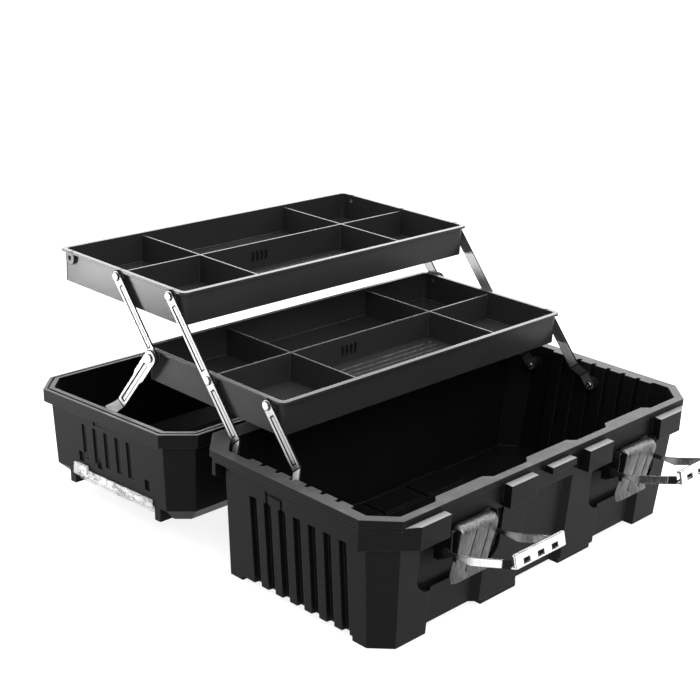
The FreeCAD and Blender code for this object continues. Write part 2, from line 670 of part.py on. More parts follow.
def lid():
    shoulder = octagon(*lid_size(LID_SHOULDER))
    outside = tapered([(octagon(*lid_size(LID_BASE)), LID_BASE), (shoulder, LID_SHOULDER),
                       (octagon(*lid_size(LID_TOP)), LID_TOP)])
    flange = tapered([(rim_octagon(0), LID_BASE), (rim_octagon(0), LID_BASE + d.lid_flange)])
    shell = outside.multiFuse([flange] + both_ends([lid_catch()] + lid_knuckle() + handle_ears()))
    inner_shoulder = LID_SHOULDER - d.lid_wall * (math.sqrt(2) - 1)
    inner_top = LID_TOP - d.lid_wall
    cavity = tapered([(lid_inside(LID_BASE, 0), LID_BASE - 1), (lid_inside(LID_SHOULDER, 0), inner_shoulder),
                      (lid_inside(LID_SHOULDER, inner_top - inner_shoulder), inner_top)])
    shell = shell.cut(cavity)
    shell = shell.multiFuse(both_ends([cell_block()]))

    # flutes, finger slots, link pivot hole and the groove round the rim
    _, _, rear, cut = lid_size(LID_SHOULDER)
    side_count = int((rear - cut - d.lid_flute_edge) / d.lid_flute_pitch)
    rows = [i * d.lid_flute_pitch for i in range(-side_count, side_count + 1)]
    start = LID_BASE + d.lid_flute_start
    cuts = [end_groove(y, d.lid_flute_width, start, start + d.lid_flute_length, d.lid_flute_depth) for y in rows]
    slot_top = LID_SHOULDER - d.slot_drop
    cuts += [end_groove(y, d.lid_flute_width, slot_top - d.slot_length, slot_top, d.slot_depth)
             for y in (d.cell_front + 15, d.cell_front + 15 + 1.7 * d.lid_flute_pitch, d.cell_rear - 9)]
    pivot_y, pivot_z = lid_pivot_closed()
    plate = d.pivot_plate
    cuts.append(end_groove(pivot_y, plate, pivot_z - plate / 2, pivot_z + plate / 2, d.pivot_plate_depth))
    cuts.append(cylinder_x(-HALF_X, -HALF_X + 30, pivot_y, pivot_z, d.rivet + 1))
    cuts += cell_cuts()
    z = LID_TOP + d.handle_lift + d.handle_bar / 2
    cuts.append(cylinder_x(-d.handle_width / 2 - 0.5 - d.handle_ear - 1, -d.handle_width / 2,
                           d.handle_pivot_y, z, d.handle_pin))
    _, middle = hinge_places()
    cuts.append(cylinder_x(middle[0] - 1, middle[1] + 1, HINGE_Y, HINGE_Z, d.hinge_pin + d.pin_gap))
    shell = shell.cut(both_ends(cuts))
    outer_ring = rim_octagon(d.groove_in)
    inner_ring = rim_octagon(d.groove_in + d.groove_width)
    roof = LID_BASE + d.groove_depth
    groove = tapered([(outer_ring, LID_BASE - 1), (outer_ring, roof)])
    groove = groove.cut(tapered([(inner_ring, LID_BASE - 2), (inner_ring, roof + 1)]))
    return shell.cut(groove).removeSplitter()


def place_shell(label, shape, placement):
    piece = doc.addObject("Part::Feature", label)
    piece.Shape = shape
    piece.Placement = placement
    return keep(piece, label)


place_shell("base_shell", tub(), Placement())
place_shell("lid_shell", lid(), LID_OPEN)


# Trays

def in_corner(vertex, corner_x, corner_y):
    """True for a point on the corner of the compartments next to the tray's own corner."""
    return corner_x < abs(vertex.X) < corner_x + 0.02 and corner_y < abs(vertex.Y) < corner_y + 0.02


def tray(label, centre_y, pivot_z):
    """A moulded tray, drawn about its own centre with its rim top at zero."""
    body = new_body(label)
    half_x = "tray_length/2"
    half_y = "tray_depth/2"
    inner_x = "(tray_length/2 - tray_lip - tray_wall)"
    inner_y = "(tray_depth/2 - tray_lip - tray_wall)"
    rim = outline(body, label + "_rim", "XY_Plane",
                  [rectangle("-" + half_x, half_x, "-" + half_y, half_y)], "-tray_lip_height")
    pad(body, rim, "tray_lip_height")
    wall_x = "(tray_length/2 - tray_lip)"
    wall_y = "(tray_depth/2 - tray_lip)"
    walls = outline(body, label + "_walls", "XY_Plane",
                    [rectangle("-" + wall_x, wall_x, "-" + wall_y, wall_y)], "-tray_height")
    pad(body, walls, "tray_height")

    whole = outline(body, label + "_inside", "XY_Plane",
                    [rectangle("-" + inner_x, inner_x, "-" + inner_y, inner_y)])
    pocket(body, whole, "tray_height - tray_floor")
    corner_x = d.tray_length / 2 - d.tray_lip - d.tray_wall - 0.01
    corner_y = d.tray_depth / 2 - d.tray_lip - d.tray_wall - 0.01
    round_edges(body, label + "_inner_corners", "tray_corner - tray_wall",
                lambda e: runs_along(e, Vector(0, 0, 1)) and in_corner(e.Vertexes[0], corner_x, corner_y))
    round_edges(body, label + "_corners", "tray_corner",
                lambda e: runs_along(e, Vector(0, 0, 1)) and abs(e.Vertexes[0].Y) > corner_y + 1)

    # ribs on the floor of the middle front compartment
    rib_x = "(divider_x - rib_margin)"
    ribs = []
    room = d.tray_depth / 2 - d.tray_lip - d.tray_wall - d.divider / 2 - 2 * d.rib_margin
    rib_count = 1 + int(room / d.rib_pitch)
    for i in range(rib_count):
        y = f"(-tray_depth/4 + ({i - (rib_count - 1) / 2})*rib_pitch)"
        ribs.append(rectangle("-" + rib_x, rib_x, y + " - rib_width/2", y + " + rib_width/2"))
    pad(body, outline(body, label + "_ribs", "XY_Plane", ribs, "-tray_height + tray_floor"), "rib_height")

    # pivot bosses and rivet holes on both ends
    places = [(f"{step}*pivot_spacing", "-pivot_drop") for step in (-1, 0, 1)]
    stand = "boss_face - tray_length/2 + tray_lip + tray_wall/2"
    left = circles(body, label + "_left_bosses", "YZ_Plane", places, "boss", "-boss_face")
    pad(body, left, stand)
    right = circles(body, label + "_right_bosses", "YZ_Plane", places, "boss",
                    "tray_length/2 - tray_lip - tray_wall/2")
    pad(body, right, stand)
    depth = "boss_face - tray_length/2 + tray_lip + tray_wall"
    left = circles(body, label + "_left_holes", "YZ_Plane", places, "rivet",
                   "-(tray_length/2 - tray_lip - tray_wall)")
    pocket(body, left, depth)
    right = circles(body, label + "_right_holes", "YZ_Plane", places, "rivet", "boss_face")
    pocket(body, right, depth)
    body.Placement = Placement(Vector(0, centre_y, pivot_z + d.pivot_drop), Rotation())
    return keep(body, label)


def tray_dividers(label, centre_y, pivot_z):
    """The lattice that parts a tray into six compartments, a little lower than the tray's rim."""
    body = new_body(label)
    reach_x = "(tray_length/2 - tray_lip - tray_wall - divider_fit)"
    reach_y = "(tray_depth/2 - tray_lip - tray_wall - divider_fit)"
    bottom = "-tray_height + tray_floor + divider_fit"
    height = "tray_height - tray_floor - divider_drop - divider_fit"
    long_one = [rectangle("-" + reach_x, reach_x, "-divider/2", "divider/2")]
    pad(body, outline(body, label + "_long", "XY_Plane", long_one, bottom), height)
    cross = [rectangle(f"{x} - divider/2", f"{x} + divider/2", "-" + reach_y, reach_y)
             for x in ("-divider_x", "divider_x")]
    pad(body, outline(body, label + "_cross", "XY_Plane", cross, bottom), height)
    body.Placement = Placement(Vector(0, centre_y, pivot_z + d.pivot_drop), Rotation())
    return keep(body, label)


STEP_Y = d.stage * math.cos(math.radians(d.open_angle))
STEP_Z = d.stage * math.sin(math.radians(d.open_angle))
PIVOT_Z = d.base_height - d.bar_pivot_drop
LOWER_Y = d.bar_pivot_y + STEP_Y
LOWER_Z = PIVOT_Z + STEP_Z
UPPER_Y = LOWER_Y + STEP_Y + d.pivot_spacing
UPPER_Z = LOWER_Z + STEP_Z
tray("lower_tray", LOWER_Y, LOWER_Z)
tray_dividers("lower_tray_dividers", LOWER_Y, LOWER_Z)
tray("upper_tray", UPPER_Y, UPPER_Z)
tray_dividers("upper_tray_dividers", UPPER_Y, UPPER_Z)


# Links

def strip(label, length, plane, joggle_at_end, joggle, spans, width="bar_width"):
    """A steel strip along its own Y axis from pivot to pivot, joggled outward near one end.

    length, plane and width are formulas, joggle_at_end says which end is joggled, and spans lists
    the formulas between which a groove is pressed into the outer face.
    """
    body = new_body(label)
    tip = f"{width}/2"
    inner = f"({plane})"
    outer = f"({plane} + bar_thickness)"
    near, far = ("joggle_start", "(joggle_start + joggle_length)")
    if joggle_at_end:
        near, far = (f"({length} - joggle_start)", f"({length} - joggle_start - joggle_length)")
    start, end = (f"-{tip}", f"({length} + {tip})")
    ends = (end, start) if joggle_at_end else (start, end)
    profile = [(f"-({inner} + {joggle})", ends[0]), (f"-({inner} + {joggle})", near), (f"-{inner}", far),
               (f"-{inner}", ends[1]), (f"-{outer}", ends[1]), (f"-{outer}", far),
               (f"-({outer} + {joggle})", near), (f"-({outer} + {joggle})", ends[0])]
    if joggle == "0":
        profile = rectangle(f"-{outer}", f"-{inner}", start, end)
    pad(body, outline(body, label + "_side", "XY_Plane", [profile], f"-{tip}"), width)
    half = getattr(d, width) / 2
    limits = (-half + 0.01, body_length(body) - half - 0.01)
    round_edges(body, label + "_ends", f"{tip} - 0.05",
                lambda e: runs_along(e, ALONG_X) and not limits[0] < e.Vertexes[0].Y < limits[1])
    for i, (first, last) in enumerate(spans):
        press = outline(body, f"{label}_press{i}", "YZ_Plane",
                        [rectangle(f"{first} + press_margin", f"{last} - press_margin",
                                   "-press_width/2", "press_width/2")], f"-({outer} - press_depth)")
        pocket(body, press, "press_depth + 1")
    return body


def body_length(body):
    doc.recompute()
    return body.Shape.BoundBox.YLength


def drill(body, places, radius):
    """Pivot holes right through a strip, at distances along it."""
    holes = circles(body, body.Name + "_holes", "YZ_Plane", [(place, "0") for place in places], radius)
    pocket(body, holes, "case_length/2")


def link_pair(name, y, z, angle, body):
    """Lean a left-hand strip to its rest angle about its first pivot, and add the right-hand one."""
    body.Placement = Placement(Vector(0, y, z), Rotation(ALONG_X, angle))
    keep(body, name + "_left")
    keep(mirrored(name + "_right", body), name + "_right")


HOLE = "rivet + pin_gap"
AFTER_JOGGLE = "joggle_start + joggle_length - press_margin/2"
long_bar = strip("long_bar_left", "2*stage", "bar_plane", False, "bar_joggle",
                 [(AFTER_JOGGLE, "stage"), ("stage", "2*stage")])
drill(long_bar, ["0", "stage", "2*stage"], HOLE)
link_pair("long_bar", d.bar_pivot_y, PIVOT_Z, d.open_angle, long_bar)

front_bar = strip("front_bar_left", "stage", "bar_plane", False, "bar_joggle", [(AFTER_JOGGLE, "stage")])
drill(front_bar, ["0", "stage"], HOLE)
link_pair("front_bar", d.bar_pivot_y - d.pivot_spacing, PIVOT_Z, d.open_angle, front_bar)

upper_link = strip("upper_link_left", "stage", "bar_plane", False, "0", [("0", "stage")])
drill(upper_link, ["0", "stage"], HOLE)
link_pair("upper_link", LOWER_Y + d.pivot_spacing, LOWER_Z, d.open_angle, upper_link)

# The lid link runs from the lower tray's rear pivot to the lid's end wall
LINK_Y = LOWER_Y + d.pivot_spacing
REACH_Y = d.lid_pivot_y - LINK_Y
REACH_Z = d.lid_pivot_z - LOWER_Z
LINK_LENGTH = f"{math.hypot(REACH_Y, REACH_Z):.4f}"
lid_link = strip("lid_link_left", LINK_LENGTH, "lid_link_plane", True, "lid_link_joggle",
                 [("0", f"{LINK_LENGTH} - joggle_start - joggle_length + press_margin/2")], "shoulder_width")
waist = [("shoulder_length", "shoulder_width/2 + 1"), ("shoulder_length", "shoulder_width/2"),
         ("shoulder_length + 8", "waist_width/2"), (f"{LINK_LENGTH} - 22", "waist_width/2"),
         (f"{LINK_LENGTH} - 12", "shoulder_width/2"), (f"{LINK_LENGTH} - 12", "shoulder_width/2 + 1")]
narrowed = [waist, [(along, f"-({across})") for along, across in waist]]
pocket(lid_link, outline(lid_link, "lid_link_waist", "YZ_Plane", narrowed), "case_length/2")
drill(lid_link, ["0"], HOLE)
drill_foot = circles(lid_link, "lid_link_foot_hole", "YZ_Plane", [(LINK_LENGTH, "0")], "rivet")
pocket(lid_link, drill_foot, "case_length/2")
link_pair("lid_link", LINK_Y, LOWER_Z, math.degrees(math.atan2(REACH_Z, REACH_Y)), lid_link)


# Rivets

def rivet(name, y, z, shank_in, head_at, outward=-1):
    """A round-headed rivet on the left side, from shank_in to the seat of its head."""
    low, high = (head_at, shank_in) if outward < 0 else (shank_in, head_at)
    shank = rod(name + "_shank", low, high, y, z, "rivet")
    head = dome(name + "_head", head_at, y, z, outward)
    return fuse(name, [shank, head])


def rivet_group(label, rivets):
    group(label, rivets + [mirrored(piece.Name + "_right", piece) for piece in rivets])


TRAY_WALL = "-(tray_length/2 - tray_lip - tray_wall)"
BAR_FACE = "-(bar_plane + bar_thickness + running_gap)"
LINK_FACE = "-(lid_link_plane + bar_thickness + running_gap)"
lower_z = f"{LOWER_Z:.4f}"
upper_z = f"{UPPER_Z:.4f}"
rivet_group("lower_tray_rivets", [
    rivet("lower_front_rivet", f"{LOWER_Y:.4f} - pivot_spacing", lower_z, TRAY_WALL, BAR_FACE),
    rivet("lower_middle_rivet", f"{LOWER_Y:.4f}", lower_z, TRAY_WALL, BAR_FACE),
    rivet("lower_rear_rivet", f"{LOWER_Y:.4f} + pivot_spacing", lower_z, TRAY_WALL, LINK_FACE)])
rivet_group("upper_tray_rivets", [
    rivet("upper_front_rivet", f"{UPPER_Y:.4f} - pivot_spacing", upper_z, TRAY_WALL, BAR_FACE),
    rivet("upper_middle_rivet", f"{UPPER_Y:.4f}", upper_z, TRAY_WALL, BAR_FACE)])
BASE_PIN_END = f"-{pivot_seat():.4f}"
BASE_PIN_HEAD = "-(bar_plane + bar_joggle - running_gap)"
base_z = "base_height - bar_pivot_drop"
rivet_group("base_rivets", [
    rivet("base_rear_rivet", "bar_pivot_y", base_z, BASE_PIN_END, BASE_PIN_HEAD, 1),
    rivet("base_front_rivet", "bar_pivot_y - pivot_spacing", base_z, BASE_PIN_END, BASE_PIN_HEAD, 1)])
rivet_group("lid_link_studs", [
    rivet("lid_stud", "lid_pivot_y", "lid_pivot_z", "-(lid_link_plane + lid_link_joggle + bar_thickness + 1.5)",
          "-(lid_link_plane + lid_link_joggle)", 1)])

outer_knuckles, _ = hinge_places()
hinge_pin = rod("hinge_pin_left", f"{outer_knuckles[0][0]:.4f}", f"{outer_knuckles[1][1]:.4f}",
                "case_width/2 + hinge_back", "base_height - hinge_drop", "hinge_pin")
group("hinge_pins", [hinge_pin, mirrored("hinge_pin_right", hinge_pin)])


# Latches

LEVER_HALF = "lever_width/2"
EAR_IN = "(lever_width/2 + 0.5)"
EAR_OUT = "(lever_width/2 + 0.5 + ear_sheet)"
ARM_IN = "(lever_width/2 + 0.5 + ear_sheet + 0.4)"
ARM_OUT = "(lever_width/2 + 0.5 + ear_sheet + 0.4 + bail_sheet)"


def latch_bracket(label, x):
    """A folded steel bracket: a back plate on the tub's seat and two ears."""
    body = new_body(label)
    plate = outline(body, label + "_plate", "YZ_Plane",
                    [rectangle("-bracket_y - ear_sheet", "-bracket_y", "bracket_foot",
                               "relief_height - 1")], f"{x} - {EAR_OUT}")
    pad(body, plate, f"2*{EAR_OUT}")
    ear = [("-bracket_y", "bracket_foot"), ("-bracket_y", "relief_height - 1"),
           ("-(case_width/2 - side_overhang)", "relief_height - 1"),
           ("-lever_pivot_y + lever_roll", "lever_pivot_z + lever_roll - 1"),
           ("-lever_pivot_y - lever_roll + 2", "lever_pivot_z + lever_roll - 1"),
           ("-lever_pivot_y - lever_roll + 1", "lever_pivot_z - lever_roll"),
           ("-bail_pivot_y - 4", "bail_pivot_z + 4"), ("-bail_pivot_y - 4", "bail_pivot_z - 4"),
           ("-bracket_y - 6", "bracket_foot")]
    for side, start in (("left", f"{x} - {EAR_OUT}"), ("right", f"{x} + {EAR_IN}")):
        pad(body, outline(body, f"{label}_{side}_ear", "YZ_Plane", [ear], start), "ear_sheet")
    pins = circles(body, label + "_pin_holes", "YZ_Plane",
                   [("-lever_pivot_y", "lever_pivot_z"), ("-bail_pivot_y", "bail_pivot_z")],
                   "latch_pin", f"{x} + {EAR_OUT}")
    pocket(body, pins, f"2*{EAR_OUT}")
    return keep(body, label)


def latch_lever(label, x):
    """A pressed lever plate with a thick rolled top, side cheeks, a flared foot and two grooves."""
    body = new_body(label)
    face = "(-lever_pivot_y - lever_roll)"
    foot = "(-lever_pivot_y - lever_roll + lever_lean)"
    back = "(-lever_pivot_y - lever_roll + lever_sheet + 0.6)"
    rear = "(-lever_pivot_y + lever_roll - 1)"
    top = "(lever_pivot_z + lever_roll)"
    waist = "(lever_pivot_z - lever_roll)"
    side = [(back, waist), (rear, waist), (rear, f"{top} - 3"), ("-lever_pivot_y + 1", top),
            ("-lever_pivot_y - lever_roll + 3", top), (face, f"{top} - 3"), (foot, "lever_bottom + 8"),
            (f"{foot} - lever_flare", "lever_bottom"), (f"{foot} - lever_flare + lever_sheet", "lever_bottom"),
            (f"{foot} + lever_sheet", "lever_bottom + 8")]
    pad(body, outline(body, label + "_side", "YZ_Plane", [side], f"{x} - {LEVER_HALF}"), "lever_width")
    cheek = [(f"{foot} + lever_sheet - 0.4", "lever_bottom + 12"), (rear, f"{waist} - lever_roll - 14"),
             (rear, waist), (back, waist)]
    for hand, start in (("left", f"{x} - {LEVER_HALF}"), ("right", f"{x} + {LEVER_HALF} - lever_sheet")):
        pad(body, outline(body, f"{label}_{hand}_cheek", "YZ_Plane", [cheek], start), "lever_sheet")
    groove = [(f"{face} - 2", f"{top} - 7"), (f"{face} + 1", f"{top} - 7"), (f"{foot} + 0.9", "lever_bottom + 8"),
              (f"{foot} - 2", "lever_bottom + 8")]
    for i, shift in enumerate(("(-0.07)", "0.25")):
        slot = outline(body, f"{label}_groove{i}", "YZ_Plane", [groove], f"{x} + {shift}*lever_width + 1.2")
        pocket(body, slot, "2.4")
    corner = [("lever_width/2 + 1", f"{top} + 1"), ("lever_width/2 + 1", f"{top} - lever_corner"),
              ("lever_width/2", f"{top} - lever_corner"), ("lever_width/2 - lever_corner", top),
              ("lever_width/2 - lever_corner", f"{top} + 1")]
    loops = [[(f"{x} + {sign}*({across})", up) for across, up in corner] for sign in ("1", "(-1)")]
    trim = outline(body, label + "_corners", "XZ_Plane", loops, "lever_pivot_y + 2*lever_roll")
    pocket(body, trim, "4*lever_roll")
    bore = circles(body, label + "_bore", "YZ_Plane", [("-lever_pivot_y", "lever_pivot_z")],
                   "latch_pin + pin_gap", f"{x} + {LEVER_HALF} + 1")
    pocket(body, bore, "lever_width + 2")
    return keep(body, label)


def latch_bail(label, x):
    """The bail, drawn upright about its pivot and then swung down: two bowed arms and a hooked end."""
    body = new_body(label)
    reach = "bail_reach"
    arm = [("bail_half_arm/2", "1"), ("-0.5", f"0.16*{reach}"), ("-1.2", f"0.3*{reach}"), ("1.8", f"{reach} - 6"),
           ("-6.2", f"{reach} - 6"), ("-1.2 - 2*bail_half_arm", f"0.34*{reach}"),
           ("-0.5 - bail_half_arm", f"0.16*{reach}"), ("-bail_half_arm/2", "-1")]
    eye = [("0", "0")]
    for hand, start in (("left", f"{x} - {ARM_OUT}"), ("right", f"{x} + {ARM_IN}")):
        pad(body, outline(body, f"{label}_{hand}_arm", "YZ_Plane", [arm], start), "bail_sheet")
        pad(body, circles(body, f"{label}_{hand}_eye", "YZ_Plane", eye, "bail_half_arm + 0.4", start), "bail_sheet")
    hook = [("-6.2", f"{reach} - 10"), ("-6.2", reach), ("7", reach), ("7", f"{reach} - 4.5"),
            ("7 - bail_sheet", f"{reach} - 4.5"), ("7 - bail_sheet", f"{reach} - bail_sheet"),
            ("-6.2 + bail_sheet", f"{reach} - bail_sheet"), ("-6.2 + bail_sheet", f"{reach} - 10")]
    pad(body, outline(body, label + "_hook", "YZ_Plane", [hook], f"{x} - {ARM_OUT}"), f"2*{ARM_OUT}")
    windows = [rectangle(f"{x} + {step}*20 - 4.4", f"{x} + {step}*20 + 4.4", "-4", "0.6") for step in (-1, 0, 1)]
    pocket(body, outline(body, label + "_windows", "XY_Plane", windows, f"{reach} + 1"), "bail_sheet + 2")
    eyes = circles(body, label + "_bore", "YZ_Plane", eye, "latch_pin + pin_gap", f"{x} + {ARM_OUT} + 1")
    pocket(body, eyes, f"2*{ARM_OUT} + 2")
    body.Placement = Placement(Vector(0, -d.bail_pivot_y, d.bail_pivot_z), Rotation(ALONG_X, d.bail_open))
    return keep(body, label)


def latch_pins(x, side):
    """The lever's long pin and the bail's two short studs, all fixed in the bracket's ears."""
    lever_pin = rod(f"lever_pin_{side}", f"{x} - {EAR_OUT} - 0.15", f"{x} + {EAR_OUT} + 0.15",
                    "-lever_pivot_y", "lever_pivot_z", "latch_pin")
    studs = [rod(f"bail_stud_{side}_{i}", low, high, "-bail_pivot_y", "bail_pivot_z", "latch_pin")
             for i, (low, high) in enumerate(((f"{x} - {ARM_OUT} - 0.8", f"{x} - {EAR_IN}"),
                                              (f"{x} + {EAR_IN}", f"{x} + {ARM_OUT} + 0.8")))]
    return lever_pin, studs


lever_pins = []
bail_studs = []
for side, place in (("left", "(-latch_x)"), ("right", "latch_x")):
    latch_bracket(f"latch_bracket_{side}", place)
    latch_lever(f"latch_lever_{side}", place)
    latch_bail(f"latch_bail_{side}", place)
    pin, studs = latch_pins(place, side)
    lever_pins.append(pin)
    bail_studs += studs
group("lever_pins", lever_pins)
group("bail_studs", bail_studs)


# Carry handle, drawn folded on the closed lid

def carry_handle():
    body = new_body("carry_handle")
    low = f"{LID_TOP:.4f} + handle_lift"
    plan = [("-handle_width/2", "handle_pivot_y + handle_bar/2"),
            ("-handle_width/2", "handle_pivot_y - handle_reach - handle_bar/2"),
            ("handle_width/2", "handle_pivot_y - handle_reach - handle_bar/2"),
            ("handle_width/2", "handle_pivot_y + handle_bar/2"),
            ("handle_width/2 - handle_arm", "handle_pivot_y + handle_bar/2"),
            ("handle_width/2 - handle_arm", "handle_pivot_y - handle_reach + handle_bar/2"),
            ("-handle_width/2 + handle_arm", "handle_pivot_y - handle_reach + handle_bar/2"),
            ("-handle_width/2 + handle_arm", "handle_pivot_y + handle_bar/2")]
    pad(body, outline(body, "handle_plan", "XY_Plane", [plan], low), "handle_bar")
    round_edges(body, "handle_corners", "handle_bar/2 - 0.5",
                lambda e: runs_along(e, Vector(0, 0, 1)) and e.Vertexes[0].Y < d.handle_pivot_y - d.handle_reach)
    round_edges(body, "handle_knuckles", "handle_bar/2 - 0.05",
                lambda e: runs_along(e, ALONG_X) and e.Vertexes[0].Y > d.handle_pivot_y)
    bore = circles(body, "handle_bore", "YZ_Plane", [("handle_pivot_y", low + " + handle_bar/2")],
                   "handle_pin + pin_gap", "case_length/2")
    pocket(body, bore, "case_length")
    body.Placement = LID_OPEN
    return keep(body, "carry_handle")


carry_handle()
handle_z = f"{LID_TOP:.4f} + handle_lift + handle_bar/2"
handle_pin = rod("handle_pin_left", "-handle_width/2 - 0.5 - handle_ear", "-handle_width/2 + handle_arm - 1",
                 "handle_pivot_y", handle_z, "handle_pin")
handle_pins = group("handle_pins", [handle_pin, mirrored("handle_pin_right", handle_pin)])
handle_pins.Placement = LID_OPEN


# Clear covers over the parts compartments, drawn shut on the closed lid

def organizer_cover():
    """A clear cover: top, bevelled side with a skirt over the end wall, closed ends, barrel and clip tab."""
    body = new_body("organizer_cover_left")
    top = f"{LID_TOP:.4f}"
    shoulder = f"({LID_SHOULDER:.4f} + cover_gap)"
    skirt = f"({LID_SHOULDER:.4f} - cover_skirt)"
    face = f"({lid_size(LID_SHOULDER)[0]:.4f} + cover_stand + cover_skin)"
    inner = "(cell_inner + cell_wall + cover_gap)"
    front = "(cell_front + 2*cover_gap)"
    rear = "(cell_rear - 3*cover_gap)"
    bevel = "(lid_bevel - 2)"
    slant = "0.586*cover_skin"
    skin = [(f"-{face}", skirt), (f"-{face}", f"{top} - {bevel}"), (f"-{face} + {bevel}", top), (f"-{inner}", top),
            (f"-{inner}", f"{top} - cover_skin"), (f"-{face} + {bevel} + {slant}", f"{top} - cover_skin"),
            (f"-{face} + cover_skin", f"{top} - {bevel} - {slant}"), (f"-{face} + cover_skin", skirt)]
    pad(body, outline(body, "cover_skin_profile", "XZ_Plane", [skin], f"-{rear}"), f"{rear} - {front}")
    end = [(f"-{face}", shoulder), (f"-{face}", f"{top} - {bevel}"), (f"-{face} + {bevel}", top), (f"-{inner}", top),
           (f"-{inner}", shoulder)]
    for name, start in (("front", f"-{front} - cover_skin"), ("rear", f"-{rear}")):
        pad(body, outline(body, f"cover_{name}_end", "XZ_Plane", [end], start), "cover_skin")
    y, z = cover_axis()
    middle = f"{cover_middle():.4f}"
    arm = [(rear + " - 1", f"{top} - 2.4"), (f"{y:.4f}", f"{top} - 2.4 - cover_barrel"), (f"{y:.4f}", top),
           (rear + " - 1", top)]
    start = f"-{middle} - cover_knuckle/2"
    pad(body, outline(body, "cover_arm", "YZ_Plane", [arm], start), "cover_knuckle")
    pad(body, circles(body, "cover_barrel_ring", "YZ_Plane", [(f"{y:.4f}", f"{z:.4f}")], "cover_barrel", start),
        "cover_knuckle")
    pocket(body, circles(body, "cover_bore", "YZ_Plane", [(f"{y:.4f}", f"{z:.4f}")], "cover_pin + pin_gap",
                         f"-{middle} + cover_knuckle/2 + 1"), "cover_knuckle + 2")
    tab = [(f"-{face} + 0.5", f"{skirt} + 4"), (f"-{face} - 1.4", f"{skirt} + 4"), (f"-{face} - 1.4", f"{skirt} - 5"),
           (f"-{face} + cover_skin", f"{skirt} - 5"), (f"-{face} + cover_skin", f"{skirt} + 0.5"),
           (f"-{face} + 0.5", f"{skirt} + 0.5")]
    pad(body, outline(body, "cover_tab", "XZ_Plane", [tab], "-cell_front - 4 - cover_tab"), "cover_tab")
    body.Placement = LID_OPEN
    return keep(body, "organizer_cover_left")


cover = organizer_cover()
keep(mirrored("organizer_cover_right", cover), "organizer_cover_right")
COVER_Y, COVER_Z = cover_axis()
cover_pin = rod("cover_pin_left", f"-{lid_size(LID_SHOULDER)[0]:.4f} + 1", "-cell_inner - 1.5",
                f"{COVER_Y:.4f}", f"{COVER_Z:.4f}", "cover_pin")
cover_pins = group("cover_pins", [cover_pin, mirrored("cover_pin_right", cover_pin)])
cover_pins.Placement = LID_OPEN


# Check and write

doc.recompute()
for item in doc.Objects:
    if "Invalid" in item.State or "Error" in item.State:
        raise RuntimeError(f"{item.Label} did not compute: {item.State}")
for piece in pieces:
    if piece.Shape.isNull() or not piece.Shape.isValid() or not piece.Shape.Solids:
        raise RuntimeError(f"{piece.Label} has no sound shape")
os.makedirs("parts", exist_ok=True)
for piece in pieces:
    piece.Shape.exportStep(f"parts/{piece.Label}.step")
    print(piece.Label, len(piece.Shape.Solids), round(piece.Shape.Volume / 1000, 1))
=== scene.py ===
import json
import math

import bpy
from mathutils import Matrix, Vector


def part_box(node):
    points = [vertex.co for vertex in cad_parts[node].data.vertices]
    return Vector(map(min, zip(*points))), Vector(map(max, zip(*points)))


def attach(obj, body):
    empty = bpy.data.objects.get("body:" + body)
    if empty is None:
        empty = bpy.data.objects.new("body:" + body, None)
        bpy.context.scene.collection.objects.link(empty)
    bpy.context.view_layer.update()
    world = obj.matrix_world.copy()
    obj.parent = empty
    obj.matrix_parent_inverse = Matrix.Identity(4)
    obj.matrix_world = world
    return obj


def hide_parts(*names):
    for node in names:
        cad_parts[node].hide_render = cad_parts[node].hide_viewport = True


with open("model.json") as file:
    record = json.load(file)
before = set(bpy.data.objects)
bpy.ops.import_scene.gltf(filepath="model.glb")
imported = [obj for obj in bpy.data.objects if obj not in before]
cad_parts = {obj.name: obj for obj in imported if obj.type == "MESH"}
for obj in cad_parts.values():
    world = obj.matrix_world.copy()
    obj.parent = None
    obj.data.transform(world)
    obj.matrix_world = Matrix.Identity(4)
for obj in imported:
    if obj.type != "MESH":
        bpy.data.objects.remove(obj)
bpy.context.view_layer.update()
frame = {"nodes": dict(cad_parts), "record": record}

MM = 0.001
HANDS = ("left", "right")
TRAYS = ("lower_tray", "upper_tray")

# Leans of the strips and bails about the X axis in degrees, and where the bails turn
BAR_LEAN = 49.8
LINK_LEAN = -29
BAIL_LEAN = 75
BAIL_PIVOT = Vector((0, -0.1275, 0.088))


# Shader values and materials

class Wire:
    """A value in a material. Arithmetic on wires adds Math nodes."""

    def __init__(self, finish, socket):
        self.finish = finish
        self.socket = socket

    def math(self, operation, first, second):
        return self.finish.node("ShaderNodeMath", {"operation": operation}, {0: first, 1: second})

    def __add__(self, other):
        return self.math("ADD", self, other)

    def __radd__(self, other):
        return self.math("ADD", other, self)

    def __sub__(self, other):
        return self.math("SUBTRACT", self, other)

    def __rsub__(self, other):
        return self.math("SUBTRACT", other, self)

    def __mul__(self, other):
        return self.math("MULTIPLY", self, other)

    def __rmul__(self, other):
        return self.math("MULTIPLY", other, self)


